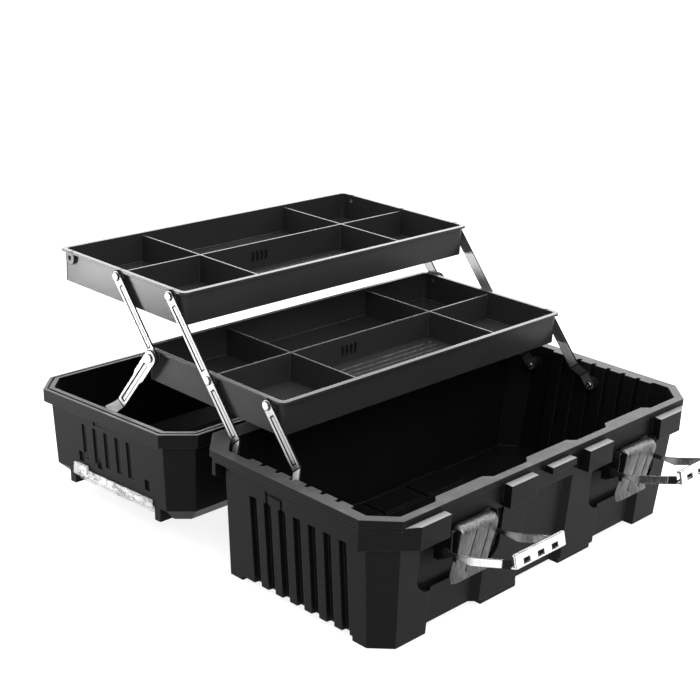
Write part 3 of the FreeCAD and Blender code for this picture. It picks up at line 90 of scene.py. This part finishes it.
class Finish:
    """One material on the object's own coordinates."""

    # the Mix node's two colour inputs and its colour output
    COLOUR_A, COLOUR_B, COLOUR_OUT = 6, 7, 2

    def __init__(self, name, **fixed):
        self.material = bpy.data.materials.new(name)
        self.material.use_nodes = True
        self.tree = self.material.node_tree
        self.shader = self.tree.nodes["Principled BSDF"]
        for key, value in fixed.items():
            self.shader.inputs[key.replace("_", " ")].default_value = value
        self.place = self.node("ShaderNodeTexCoord", out="Object")
        self.outward = self.node("ShaderNodeTexCoord", out="Normal")
        self.facing = self.node("ShaderNodeNewGeometry", out="Normal")

    def node(self, kind, settings=None, inputs=None, out=0):
        """Add a node with its settings and inputs, and give back one of its outputs."""
        made = self.tree.nodes.new(kind)
        for key, value in (settings or {}).items():
            setattr(made, key, value)
        for key, value in (inputs or {}).items():
            self.feed(made.inputs[key], value)
        return Wire(self, made.outputs[out])

    def feed(self, socket, value):
        """Link a wire to a socket, or set the socket to a constant."""
        if isinstance(value, Wire):
            self.tree.links.new(value.socket, socket)
        else:
            socket.default_value = value

    def set(self, name, value):
        """Feed one of the shader's own sockets."""
        self.feed(self.shader.inputs[name], value)

    def stretched(self, stretch, lean=0.0):
        """The object's coordinates drawn out along their axes, after a lean about the X axis."""
        turn = (math.radians(lean), 0, 0)
        return self.node("ShaderNodeMapping", {"vector_type": "TEXTURE"},
                         {"Vector": self.place, "Scale": stretch, "Rotation": turn}, "Vector")

    def noise(self, scale, detail, vector=None):
        """A cloudy value from 0 to 1."""
        return self.node("ShaderNodeTexNoise", None,
                         {"Vector": vector or self.place, "Scale": scale, "Detail": detail}, "Fac")

    def between(self, value, low, high):
        """Ramp a value from 0 at low to 1 at high."""
        return self.node("ShaderNodeMapRange", {"clamp": True},
                         {"Value": value, "From Min": low, "From Max": high})

    def mix(self, share, first, second):
        """Blend two colours."""
        return self.node("ShaderNodeMix", {"data_type": "RGBA"},
                         {"Factor": share,
                          self.COLOUR_A: (*first, 1) if isinstance(first, tuple) else first,
                          self.COLOUR_B: (*second, 1) if isinstance(second, tuple) else second},
                         self.COLOUR_OUT)

    def part_of(self, vector, axis):
        """One coordinate of a vector."""
        return self.node("ShaderNodeSeparateXYZ", None, {0: vector}, axis)

    def soft_edges(self, radius, low=0.01, high=0.12):
        """The surface's direction with its sharp edges rounded off, and a mask of those edges."""
        rounded = self.node("ShaderNodeBevel", {"samples": 6}, {"Radius": radius}, "Normal")
        along = self.node("ShaderNodeVectorMath", {"operation": "DOT_PRODUCT"},
                          {0: rounded, 1: self.facing}, "Value")
        return rounded, self.between(1 - along, low, high)

    def painted_recess_shade(self, reach):
        """A mask of corners and recesses, used to paint shade into them."""
        open_share = self.node("ShaderNodeAmbientOcclusion", {"samples": 8, "only_local": True},
                               {"Distance": reach}, "AO")
        return self.between(1 - open_share, 0.05, 0.32)

    def bump(self, height, depth, normal):
        """Raise the surface by a height from 0 to 1, times a depth in metres."""
        raised = self.node("ShaderNodeBump", None,
                           {"Height": height, "Strength": 1.0, "Distance": depth, "Normal": normal})
        self.set("Normal", raised)


def scaled(colour, factor):
    """A colour made lighter or darker."""
    return tuple(factor * part for part in colour)


def moulded_plastic(name, dark, worn_and_highlit, gloss, shine, tops=()):
    """Black moulded plastic: fine grain, uneven sheen, paler edges from wear and painted highlight, and
    level tops lightened by painted top light.

    tops lists heights in metres above which level faces get painted top light, each with its tone.
    """
    finish = Finish(name, IOR=1.5, Specular_IOR_Level=shine)
    normal, edge = finish.soft_edges(0.8 * MM)
    broad = finish.noise(scale=14, detail=3)
    grain = finish.noise(scale=2600, detail=2)
    # edges made paler, partly wear and partly painted highlight
    wear_and_highlight = edge * finish.between(finish.noise(scale=160, detail=4), 0.30, 0.62)
    colour = finish.mix(broad * 0.6, dark, scaled(dark, 1.7))
    # painted top light: level faces high on the piece made paler, as if lit from above
    for height, tone in tops:
        level = finish.between(finish.part_of(finish.outward, "Z"), 0.90, 0.98)
        high = finish.between(finish.part_of(finish.place, "Z"), height, height + 0.6 * MM)
        painted_top_light = level * high * (0.75 + 0.5 * finish.noise(scale=60, detail=4))
        colour = finish.mix(painted_top_light, colour, (tone, tone, tone))
    finish.set("Base Color", finish.mix(wear_and_highlight * 0.6, colour, worn_and_highlit))
    finish.set("Roughness", gloss + 0.10 * (broad - 0.5) + 0.08 * grain - 0.06 * wear_and_highlight)
    finish.bump(grain, 0.03 * MM, normal)
    return finish.material


def plated_steel(name, tone, gloss, lean=0.0, outline=1.7, dull=0.62, black_root=None, black_band=None):
    """Bright plated sheet: streaks along it and cloudy patches, with near-black painted dark reflection
    along its edges (outline sets their width) and painted shade in its recesses.

    black_root and black_band come together, as places along Y from high to low: painted shade above the
    root's first place, bright below its second, and painted shade again inside the band.
    """
    finish = Finish(name, Metallic=1.0, Specular_IOR_Level=0.0)
    normal, edge = finish.soft_edges(0.45 * MM)
    rim = finish.soft_edges(outline * MM, 0.001, 0.007)[1]
    drawn_out = finish.stretched((1, 14, 1), lean)
    streaks = finish.between(finish.noise(scale=420, detail=3, vector=drawn_out), 0.38, 0.62)
    cloud = finish.between(finish.noise(scale=70, detail=4), 0.35, 0.65)
    # black gathers painted dark reflection on edges and painted shade in recesses, at the root and in the
    # band
    black = 1 - (1 - rim) * (1 - finish.painted_recess_shade(2.0 * MM) * 0.9)
    if black_root:
        fade = 1.5 * MM
        band_high, band_low = black_band
        along = finish.part_of(finish.place, "Y")
        root = finish.between(along, black_root[1], black_root[0])
        band = finish.between(along, band_low, band_low + fade)
        band = band * (1 - finish.between(along, band_high, band_high + fade))
        black = 1 - (1 - black) * (1 - root) * (1 - band)
    bright = finish.mix(0.6 * streaks + 0.4 * cloud, scaled(tone, dull), tone)
    finish.set("Base Color", finish.mix(black, bright, (0.010, 0.010, 0.011)))
    finish.set("Metallic", 1 - black)
    finish.set("Roughness", gloss + 0.10 * cloud * streaks + 0.12 * edge)
    finish.bump(streaks, 0.02 * MM, normal)
    return finish.material


def brushed_steel(name, tone, gloss):
    """Rolled steel sheet brushed up and down, with painted shade in its recesses and edges lightened as
    wear and painted highlight.
    """
    finish = Finish(name, Metallic=1.0, Specular_IOR_Level=0.0)
    normal, edge = finish.soft_edges(0.9 * MM)
    fine = finish.noise(scale=900, detail=3, vector=finish.stretched((1, 1, 60)))
    brush = finish.between(fine, 0.38, 0.62)
    coarse = finish.noise(scale=380, detail=2, vector=finish.stretched((1, 1, 40)))
    broad = finish.between(coarse, 0.40, 0.60)
    cloud = finish.noise(scale=30, detail=3)
    sheet = finish.mix(0.4 * brush + 0.5 * broad + 0.2 * cloud, scaled(tone, 0.35), tone)
    # painted shade: near-black in grooves and corners
    groove = finish.painted_recess_shade(2.2 * MM)
    worn_and_highlit = finish.mix(edge * 0.5, sheet, scaled(tone, 2.2))
    finish.set("Base Color", finish.mix(groove * 0.95, worn_and_highlit, (0.006, 0.006, 0.006)))
    finish.set("Metallic", 1 - groove)
    finish.set("Roughness", gloss + 0.16 * brush + 0.06 * cloud)
    finish.bump(brush + broad, 0.03 * MM, normal)
    return finish.material


def painted_shade_black(name):
    """Near-black for painted shade and painted dark reflection on edges, grooves and rivet rims: dull,
    patchy, a little paler in random patches.
    """
    finish = Finish(name, Specular_IOR_Level=0.0)
    patches = finish.noise(scale=220, detail=4)
    finish.set("Base Color", finish.mix(patches, (0.003, 0.003, 0.003), (0.014, 0.014, 0.015)))
    finish.set("Roughness", 0.55 + 0.3 * patches)
    finish.bump(patches, 0.04 * MM, finish.facing)
    return finish.material


def clear_plastic(name):
    """Clear moulding: mostly see-through and wavy, with thin dark wavy lines and greyer edges."""
    finish = Finish(name, IOR=1.49, Specular_IOR_Level=0.3)
    normal, edge = finish.soft_edges(0.9 * MM)
    patches = finish.noise(scale=90, detail=4, vector=finish.stretched((1, 3, 1)))
    cloud = finish.between(patches, 0.38, 0.62)
    waves = finish.noise(scale=170, detail=3, vector=finish.stretched((1, 2.2, 1)))
    off_line = finish.node("ShaderNodeMath", {"operation": "ABSOLUTE"}, {0: waves - 0.5})
    line = 1 - finish.between(off_line, 0.012, 0.035)
    pale = finish.mix(edge, (0.80, 0.81, 0.82), (0.30, 0.31, 0.32))
    finish.set("Base Color", finish.mix(line * 0.9, pale, (0.02, 0.02, 0.02)))
    finish.set("Roughness", 0.06 + 0.14 * cloud)
    finish.set("Alpha", 0.12 + 0.40 * cloud + 0.40 * edge + 0.4 * line)
    finish.bump(waves, 0.8 * MM, normal)
    return finish.material


# Finishes of this case

CASE_MOULDING = {"dark": (0.0024, 0.0024, 0.0026), "worn_and_highlit": (0.045, 0.045, 0.045),
                 "gloss": 0.34, "shine": 0.075}
TRAY_MOULDING = {"dark": (0.0125, 0.0125, 0.0130), "worn_and_highlit": (0.14, 0.14, 0.14),
                 "gloss": 0.19, "shine": 0.13}
FINISHES = {
    "black_plastic": moulded_plastic("case_plastic", **CASE_MOULDING),
    "tray_plastic": moulded_plastic("tray_moulding", **TRAY_MOULDING),
    "chrome_steel": plated_steel("bright_plate", tone=(0.70, 0.71, 0.72), gloss=0.14, outline=0.9),
    "brushed_lever": brushed_steel("lever_sheet", tone=(0.140, 0.140, 0.144), gloss=0.30),
    "plain_steel": plated_steel("dark_steel", tone=(0.06, 0.06, 0.063), gloss=0.30),
    "clear_plastic": clear_plastic("clear_moulding"),
}
BAR_STRIP = plated_steel("bar_strip", tone=(0.36, 0.365, 0.37), gloss=0.50, lean=BAR_LEAN,
                         outline=1.2, dull=0.7)
LINK_STRIP = plated_steel("link_strip", tone=(0.44, 0.445, 0.45), gloss=0.46, lean=LINK_LEAN,
                          outline=1.2, dull=0.7)
# the bail's black root and band are painted shade: the arm's root seen edge-on and the web near the hook
BAIL_PLATE = plated_steel("bail_plate", tone=(0.80, 0.81, 0.82), gloss=0.18, lean=BAIL_LEAN,
                          outline=0.8, dull=0.8, black_root=(-0.140, -0.160), black_band=(-0.191, -0.2015))
PAINTED_DARK = painted_shade_black("painted_dark_edge")

NODE_FINISH = {
    # level tops of tub and lid: painted top light
    "base_shell": moulded_plastic("tub_plastic", **CASE_MOULDING, tops=[(0.1265, 0.15), (0.133, 0.02)]),
    "lid_shell": moulded_plastic("lid_plastic", **CASE_MOULDING, tops=[(0.120, 0.06)]),
}
for tray in TRAYS:
    # tray rim and divider tops: painted top light
    rim_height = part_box(tray)[1].z - 4 * MM
    rim_finish = moulded_plastic(tray + "_moulding", **TRAY_MOULDING, tops=[(rim_height, 0.05)])
    NODE_FINISH[tray] = rim_finish
    NODE_FINISH[tray + "_dividers"] = rim_finish

SLOT_OF = {}
for entry in frame["record"]["subparts"]:
    SLOT_OF[entry["node"]] = entry["material_slot"]

BODY_OF = {}
for body, members in frame["record"]["behaviour"]["bodies"].items():
    for member in members:
        BODY_OF[member] = body

for name, obj in frame["nodes"].items():
    finish = NODE_FINISH.get(name) or FINISHES[SLOT_OF[name]]
    if not obj.data.materials:
        obj.data.materials.append(finish)
    for index in range(len(obj.data.materials)):
        obj.data.materials[index] = finish


# Tools for modelling

def select_only(obj):
    """Make obj the one selected and active object."""
    bpy.ops.object.select_all(action="DESELECT")
    obj.select_set(True)
    bpy.context.view_layer.objects.active = obj


def pick(obj, kind, test):
    """Select in edit mode the faces, edges or points that pass a test on their place and direction."""
    bpy.ops.object.mode_set(mode="EDIT")
    bpy.ops.mesh.select_mode(type=kind)
    bpy.ops.mesh.select_all(action="DESELECT")
    bpy.ops.object.mode_set(mode="OBJECT")
    mesh = obj.data
    if kind == "FACE":
        for face in mesh.polygons:
            face.select = bool(test(face.center, face.normal))
    elif kind == "VERT":
        for point in mesh.vertices:
            point.select = bool(test(point.co, point.normal))
    else:
        for edge in mesh.edges:
            start, stop = [mesh.vertices[i].co for i in edge.vertices]
            edge.select = bool(test((start + stop) / 2, (stop - start).normalized()))
    bpy.ops.object.mode_set(mode="EDIT")


def block(place, size):
    """A box to shape further, from its middle and its three sizes."""
    bpy.ops.object.select_all(action="DESELECT")
    bpy.ops.mesh.primitive_cube_add(size=1, location=place)
    made = bpy.context.active_object
    made.scale = size
    bpy.ops.object.transform_apply(location=True, rotation=False, scale=True)
    return made


def round_edges(obj, test, radius, steps):
    """Round over the edges of obj that pass a test."""
    pick(obj, "EDGE", test)
    bpy.ops.mesh.bevel(offset=radius, segments=steps)
    bpy.ops.object.mode_set(mode="OBJECT")


def turn_faces_out():
    """Point all faces of the piece in edit mode outwards, and leave edit mode."""
    bpy.ops.mesh.select_all(action="SELECT")
    bpy.ops.mesh.normals_make_consistent(inside=False)
    bpy.ops.object.mode_set(mode="OBJECT")


def done(obj, name, slot, body, stands_for=(), smooth=35, finish=None):
    """Give a finished piece its place, finish and body."""
    select_only(obj)
    bpy.ops.object.transform_apply(location=True, rotation=True, scale=True)
    bpy.ops.object.shade_smooth_by_angle(angle=math.radians(smooth))
    obj.name = name
    obj.data.name = name
    obj.data.materials.clear()
    obj.data.materials.append(finish or FINISHES[slot])
    if stands_for:
        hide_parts(*stands_for)
    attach(obj, body)
    return obj


def bare_copy(name):
    """A merged copy of a CAD node to work on."""
    obj = bpy.data.objects.new("copy_" + name, frame["nodes"][name].data.copy())
    bpy.context.collection.objects.link(obj)
    select_only(obj)
    bpy.ops.object.mode_set(mode="EDIT")
    bpy.ops.mesh.select_all(action="SELECT")
    bpy.ops.mesh.remove_doubles(threshold=0.005 * MM)
    bpy.ops.mesh.dissolve_limited(angle_limit=math.radians(0.6))
    bpy.ops.object.mode_set(mode="OBJECT")
    return obj


def apply_all(obj):
    """Apply the modifiers of obj in their order."""
    select_only(obj)
    for modifier in list(obj.modifiers):
        bpy.ops.object.modifier_apply(modifier=modifier.name)


def joined(pieces):
    """Join loose pieces into one object."""
    bpy.ops.object.select_all(action="DESELECT")
    for piece in pieces:
        piece.select_set(True)
    bpy.context.view_layer.objects.active = pieces[0]
    bpy.ops.object.join()
    return bpy.context.active_object


def blacken(obj, faces):
    """Give some faces of a finished piece near-black painted shade."""
    obj.data.materials.append(PAINTED_DARK)
    for index in faces:
        obj.data.polygons[index].material_index = 1


# Strips and bails with eased edges

def eased(name, radius, rounds, finish, black_edges):
    """Stand in for a node with the same piece, its edges rounded over and, on a strip, its rounded edges
    and thin sides painted near-black as painted dark reflection and shade.
    """
    obj = bare_copy(name)
    obj.data.materials.clear()
    obj.data.materials.append(finish)
    obj.data.materials.append(PAINTED_DARK)
    bevel = obj.modifiers.new("eased", "BEVEL")
    bevel.material = 1
    bevel.width = radius
    bevel.segments = rounds
    bevel.limit_method = "ANGLE"
    bevel.angle_limit = math.radians(28)
    bevel.use_clamp_overlap = False
    apply_all(obj)
    # rounded edges and thin sides: near-black painted dark reflection and shade
    shaded_faces = [face.index for face in obj.data.polygons
           if face.material_index == 1 or abs(face.normal.x) < 0.3]
    done(obj, "eased_" + name, SLOT_OF[name], BODY_OF[name], [name], 50, finish)
    if black_edges:
        blacken(obj, shaded_faces)
    flat = obj.modifiers.new("flat", "WEIGHTED_NORMAL")
    flat.keep_sharp = True
    apply_all(obj)


for hand in HANDS:
    for bar in ("long_bar", "front_bar", "upper_link"):
        eased(f"{bar}_{hand}", 0.7 * MM, 1, BAR_STRIP, black_edges=True)
    eased(f"lid_link_{hand}", 0.7 * MM, 1, LINK_STRIP, black_edges=True)
    eased(f"latch_bail_{hand}", 0.3 * MM, 2, BAIL_PLATE, black_edges=False)


# Latch levers and the pads in the bails' hooks

def rolled_sheet(side_view, columns, thickness):
    """A sheet with the side view's points, in Y and Z, drawn through a row of places along X."""
    bpy.ops.object.select_all(action="DESELECT")
    bpy.ops.mesh.primitive_plane_add(size=MM)
    sheet = bpy.context.active_object
    bpy.ops.object.mode_set(mode="EDIT")
    bpy.ops.mesh.select_mode(type="VERT")
    bpy.ops.mesh.select_all(action="SELECT")
    bpy.ops.mesh.merge(type="CENTER")
    bpy.ops.transform.translate(value=(columns[0], *side_view[0]))
    for (y0, z0), (y1, z1) in zip(side_view, side_view[1:]):
        bpy.ops.mesh.extrude_vertices_move(TRANSFORM_OT_translate={"value": (0, y1 - y0, z1 - z0)})
    bpy.ops.mesh.select_all(action="SELECT")
    for start, stop in zip(columns, columns[1:]):
        bpy.ops.mesh.extrude_edges_move(TRANSFORM_OT_translate={"value": (stop - start, 0, 0)})
    bpy.ops.mesh.select_all(action="SELECT")
    bpy.ops.mesh.remove_doubles(threshold=0.01 * MM)
    turn_faces_out()
    wall = sheet.modifiers.new("sheet", "SOLIDIFY")
    wall.thickness = thickness
    wall.offset = 0
    return sheet


def lever_cheeks(name, edges, front, top):
    """Side cheeks behind a lever's plate, narrower towards the foot, black as painted shade of the gap
    beside the lever.
    """
    cheeks = []
    for edge in edges:
        cheek = block((edge, front + 6.4 * MM, top - 18 * MM), (1.6 * MM, 10.4 * MM, 32 * MM))
        pick(cheek, "FACE", lambda spot, way: way.z < -0.9)
        bpy.ops.transform.resize(value=(1, 0.35, 1))
        round_edges(cheek, lambda spot, way: abs(way.x) < 0.5, 0.35 * MM, 2)
        cheeks.append(cheek)
    done(joined(cheeks), "cheeks_" + name, "plain_steel", BODY_OF[name], finish=FINISHES["black_plastic"])


def pressed_lever(name):
    """A lever plate with a rolled top, a flared foot, curled sides and two pressed grooves."""
    low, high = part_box(name)
    middle = (low.x + high.x) / 2
    half = (high.x - low.x) / 2 - 3.0 * MM
    left, right = middle - half + 4.0 * MM, middle + half
    front, back = low.y - 3.4 * MM, high.y - 1.0 * MM
    top, foot = high.z - 0.9 * MM, low.z + 0.4 * MM
    lean, flare, roll, lip = 9.0 * MM, 2.4 * MM, 7.4 * MM, 0.8 * MM
    bend = foot + 8 * MM

    # side view from the foot up the face, round the roll and down the back
    side_view = [(front + lean - flare, foot), (front + lean - 0.4 * flare, foot + 4 * MM),
                 (front + lean, bend), (front + 0.5 * lean, (bend + top - roll) / 2), (front, top - roll)]
    roll_steps = 6
    for step in range(1, roll_steps + 1):
        turn = step * math.pi / (2 * roll_steps)
        side_view.append((front + roll * (1 - math.cos(turn)), top - roll * (1 - math.sin(turn))))
    side_view += [(back - lip, top), (back, top - lip), (back, top - 5 * MM)]

    # columns along the plate, with four at each groove
    grooves = (middle - 4.5 * MM, middle + 14.5 * MM)
    columns = [left, left + 1.2 * MM, left + 3.5 * MM]
    columns += [groove + side * MM for groove in grooves for side in (-1.2, -0.9, 0.9, 1.2)]
    columns += [right - 3.5 * MM, right - 1.2 * MM, right]
    lever = rolled_sheet(side_view, columns, 1.6 * MM)

    # sides curled back, and down along the top
    select_only(lever)
    for inset, back_by, down_by in ((0.0, 2.6, 2.6), (1.2, 0.7, 0.8)):
        ends = (left + inset * MM, right - inset * MM)

        def at_ends(spot):
            return min(abs(spot.x - end) for end in ends) < 0.2 * MM

        pick(lever, "VERT", lambda spot, way: at_ends(spot) and spot.y < back - 2 * MM)
        bpy.ops.transform.translate(value=(0, back_by * MM, 0))
        pick(lever, "VERT", lambda spot, way: at_ends(spot) and spot.z > top - roll)
        bpy.ops.transform.translate(value=(0, 0, -down_by * MM))
        bpy.ops.object.mode_set(mode="OBJECT")
    apply_all(lever)

    # grooves pressed into the face
    def in_groove(spot):
        return bend < spot.z < top - roll and min(abs(spot.x - groove) for groove in grooves) < 0.6 * MM

    pick(lever, "FACE", lambda spot, way: abs(way.y) > 0.8 and in_groove(spot))
    bpy.ops.transform.translate(value=(0, 1.5 * MM, 0))
    turn_faces_out()
    soft = lever.modifiers.new("soft", "BEVEL")
    soft.width = 0.15 * MM
    soft.segments = 2
    soft.limit_method = "ANGLE"
    soft.angle_limit = math.radians(50)
    apply_all(lever)
    done(lever, "pressed_" + name, SLOT_OF[name], BODY_OF[name], [name], 50)
    # groove floors: near-black painted shade
    blacken(lever, [face.index for face in lever.data.polygons
                    if face.normal.y < -0.8 and in_groove(face.center)])
    lever_cheeks(name, (left - 0.4 * MM, right + 0.4 * MM), front, top)


def hook_pad(name):
    """A black ribbed pad on the inner face of a bail's hook."""
    low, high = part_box(name)
    middle = (low.x + high.x) / 2
    half = (high.x - low.x) / 2 - 2.4 * MM
    lean = math.radians(BAIL_LEAN)
    out = Vector((0, -math.sin(lean), math.cos(lean)))
    up = Vector((0, math.cos(lean), math.sin(lean)))

    # heights across the pad and distances from the bail's pivot, in millimetres
    face, dip = 77.3, 76.6
    rows = [(-3.8, face)]
    for groove in (-1.2, 1.8):
        rows += [(groove - 0.4, face), (groove, dip), (groove + 0.4, face)]
    rows.append((4.6, face))
    spots = [BAIL_PIVOT + up * (height * MM) + out * (along * MM) for height, along in rows]
    side_view = [(spot.y, spot.z) for spot in spots]
    pad = rolled_sheet(side_view, [middle - half, middle, middle + half], 1.0 * MM)
    apply_all(pad)
    bpy.ops.object.mode_set(mode="EDIT")
    turn_faces_out()
    done(pad, "pad_" + name, "black_plastic", BODY_OF[name], smooth=25)


for hand in HANDS:
    pressed_lever("latch_lever_" + hand)
    hook_pad("latch_bail_" + hand)


# Rivets

def loose_boxes(name):
    """Lowest and highest corners of each separate solid of a node."""
    bare_copy(name)
    bpy.ops.object.mode_set(mode="EDIT")
    bpy.ops.mesh.separate(type="LOOSE")
    bpy.ops.object.mode_set(mode="OBJECT")
    boxes = []
    for part in list(bpy.context.selected_objects):
        spots = [point.co for point in part.data.vertices]
        boxes.append((Vector([min(spot[i] for spot in spots) for i in range(3)]),
                      Vector([max(spot[i] for spot in spots) for i in range(3)])))
        mesh = part.data
        bpy.data.objects.remove(part)
        bpy.data.meshes.remove(mesh)
    return boxes


def round_rivet(low, high):
    """A rivet along X with a domed outer head and a rolled ring round its tail."""
    middle = (low + high) / 2
    radius = (high.y - low.y) / 2
    head, tail, lip = 1.7 * MM, 0.8 * MM, 0.05 * MM
    shank = high.x - low.x - head - tail
    outwards = -1 if middle.x < 0 else 1
    bpy.ops.object.select_all(action="DESELECT")
    bpy.ops.mesh.primitive_cylinder_add(vertices=28, radius=radius, depth=head,
                                        rotation=(0, math.pi / 2, 0))
    rivet = bpy.context.active_object
    bpy.ops.object.transform_apply(location=False, rotation=True, scale=False)

    def push(along):
        bpy.ops.mesh.extrude_region_move(TRANSFORM_OT_translate={"value": (outwards * along, 0, 0)})

    # dome
    round_edges(rivet, lambda spot, way: spot.x * outwards > 0.5 * MM and abs(way.x) < 0.5, 1.35 * MM, 5)

    # shank, tail ring and the hollow in its end
    pick(rivet, "FACE", lambda spot, way: way.x * outwards < -0.9)
    bpy.ops.mesh.inset(thickness=radius * 0.46)
    push(-shank)
    push(-lip)
    bpy.ops.transform.resize(value=(1, 1.55, 1.55))
    push(lip - tail)
    bpy.ops.transform.resize(value=(1, 0.82, 0.82))
    bpy.ops.mesh.inset(thickness=radius * 0.28)
    push(0.5 * MM)
    turn_faces_out()
    outer_end = low.x if outwards < 0 else high.x
    rivet.location = (outer_end - outwards * head / 2, middle.y, middle.z)
    return rivet


for name in ("lower_tray_rivets", "upper_tray_rivets", "base_rivets", "lid_link_studs"):
    loose_rivets = [round_rivet(low, high) for low, high in loose_boxes(name)]
    rivets = done(joined(loose_rivets), "round_" + name, SLOT_OF[name], BODY_OF[name], [name])
    # rivet head sides, shank and tail: near-black painted shade, a dark ring round each bright dome
    blacken(rivets, [face.index for face in rivets.data.polygons if abs(face.normal.x) < 0.55])


# Stops and ribs of the trays

def divider_stops(tray):
    """Four short upright ribs on the front of the long divider, with rounded tops."""
    low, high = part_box(tray)
    first, spacing = -31.75 * MM, 6.5 * MM
    depth = (low.y + high.y) / 2 - 1.5 * MM
    ribs = []
    for step in range(4):
        rib = block((first + spacing * step, depth, high.z - 18 * MM), (2.2 * MM, 1.6 * MM, 11 * MM))
        round_edges(rib, lambda spot, way: spot.z > high.z - 13 * MM and way.x ** 2 > 0.5, 1.0 * MM, 3)
        round_edges(rib, lambda spot, way: way.z ** 2 > 0.7, 0.4 * MM, 2)
        ribs.append(rib)
    done(joined(ribs), tray + "_stops", SLOT_OF[tray], BODY_OF[tray], finish=FINISHES["black_plastic"])


def floor_ribs(tray):
    """Five low ribs on the floor of the front left compartment, rounded on top."""
    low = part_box(tray)[0]
    middle, first, spacing = -158 * MM, low.y + 20 * MM, 9 * MM
    ribs = []
    for step in range(5):
        rib = block((middle, first + spacing * step, low.z + 2.2 * MM), (94 * MM, 1.3 * MM, 0.9 * MM))
        round_edges(rib, lambda spot, way: spot.z > low.z + 2.4 * MM, 0.4 * MM, 3)
        ribs.append(rib)
    done(joined(ribs), tray + "_ribs", SLOT_OF[tray], BODY_OF[tray])


for tray in TRAYS:
    divider_stops(tray)
    floor_ribs(tray)


# Floor, light and camera

def studio_floor():
    """A pale floor that glows a little, so that it stays white round the case."""
    bpy.ops.object.select_all(action="DESELECT")
    bpy.ops.mesh.primitive_plane_add(size=14, location=(0, 0, 0))
    floor = bpy.context.active_object
    floor.name = "studio_floor"
    paint = Finish("floor_paint")
    paint.set("Base Color", (0.16, 0.16, 0.16, 1))
    paint.set("Roughness", 0.6)
    paint.set("Emission Color", (1, 1, 1, 1))
    paint.set("Emission Strength", 0.85)
    floor.data.materials.append(paint.material)


def area_light(name, place, target, size, power):
    """A rectangular lamp that points from its place at a target."""
    data = bpy.data.lights.new(name, "AREA")
    data.shape = "RECTANGLE"
    data.size, data.size_y = size
    data.energy = power
    lamp = bpy.data.objects.new(name, data)
    bpy.context.collection.objects.link(lamp)
    lamp.location = place
    lamp.rotation_euler = (Vector(target) - Vector(place)).to_track_quat("-Z", "Y").to_euler()


def photo_camera():
    """The camera that was fitted to the photograph's rims."""
    data = bpy.data.cameras.new("photo_camera")
    data.lens = 73.58
    data.sensor_width = 36
    camera = bpy.data.objects.new("photo_camera", data)
    bpy.context.collection.objects.link(camera)
    turn = Matrix.Rotation(math.radians(-46.69), 4, "Z")
    lean = Matrix.Rotation(math.radians(90 - 19.72), 4, "X")
    roll = Matrix.Rotation(math.radians(2.68), 4, "Z")
    camera.matrix_world = Matrix.Translation((-1.0607, -0.8422, 0.6845)) @ turn @ lean @ roll
    bpy.context.scene.camera = camera


def studio_surround():
    """A white surround that is brightest behind and above the case and dim in front of it."""
    world = bpy.data.worlds.new("studio")
    world.use_nodes = True
    tree = world.node_tree
    glow = tree.nodes["Background"]
    place = tree.nodes.new("ShaderNodeTexCoord")
    along = tree.nodes.new("ShaderNodeVectorMath")
    along.operation = "DOT_PRODUCT"
    along.inputs[1].default_value = (0.62, 0.62, 0.48)
    tree.links.new(place.outputs["Generated"], along.inputs[0])
    ramp = tree.nodes.new("ShaderNodeMapRange")
    ramp.interpolation_type = "SMOOTHSTEP"
    ramp.inputs["From Min"].default_value = -0.35
    ramp.inputs["From Max"].default_value = 0.85
    ramp.inputs["To Min"].default_value = 0.35
    ramp.inputs["To Max"].default_value = 4.6
    tree.links.new(along.outputs["Value"], ramp.inputs["Value"])
    path = tree.nodes.new("ShaderNodeLightPath")
    seen = tree.nodes.new("ShaderNodeMix")
    tree.links.new(path.outputs["Is Camera Ray"], seen.inputs["Factor"])
    tree.links.new(ramp.outputs[0], seen.inputs[2])
    seen.inputs[3].default_value = 1.2
    tree.links.new(seen.outputs[0], glow.inputs["Strength"])
    glow.inputs["Color"].default_value = (1, 1, 1, 1)
    bpy.context.scene.world = world


studio_floor()
studio_surround()
area_light("overhead_soft", place=(0.2, 0.6, 2.2), target=(0, 0.15, 0.1), size=(2.2, 1.6), power=30)
area_light("front_fill", place=(-0.9, -1.6, 1.7), target=(0, 0, 0.15), size=(1.6, 1.2), power=60)
area_light("left_low_panel", place=(-0.78, 0.80, 0.06), target=(-0.2, 0.28, 0.24),
           size=(0.45, 0.16), power=7)
photo_camera()
bpy.context.scene.view_settings.view_transform = "Standard"
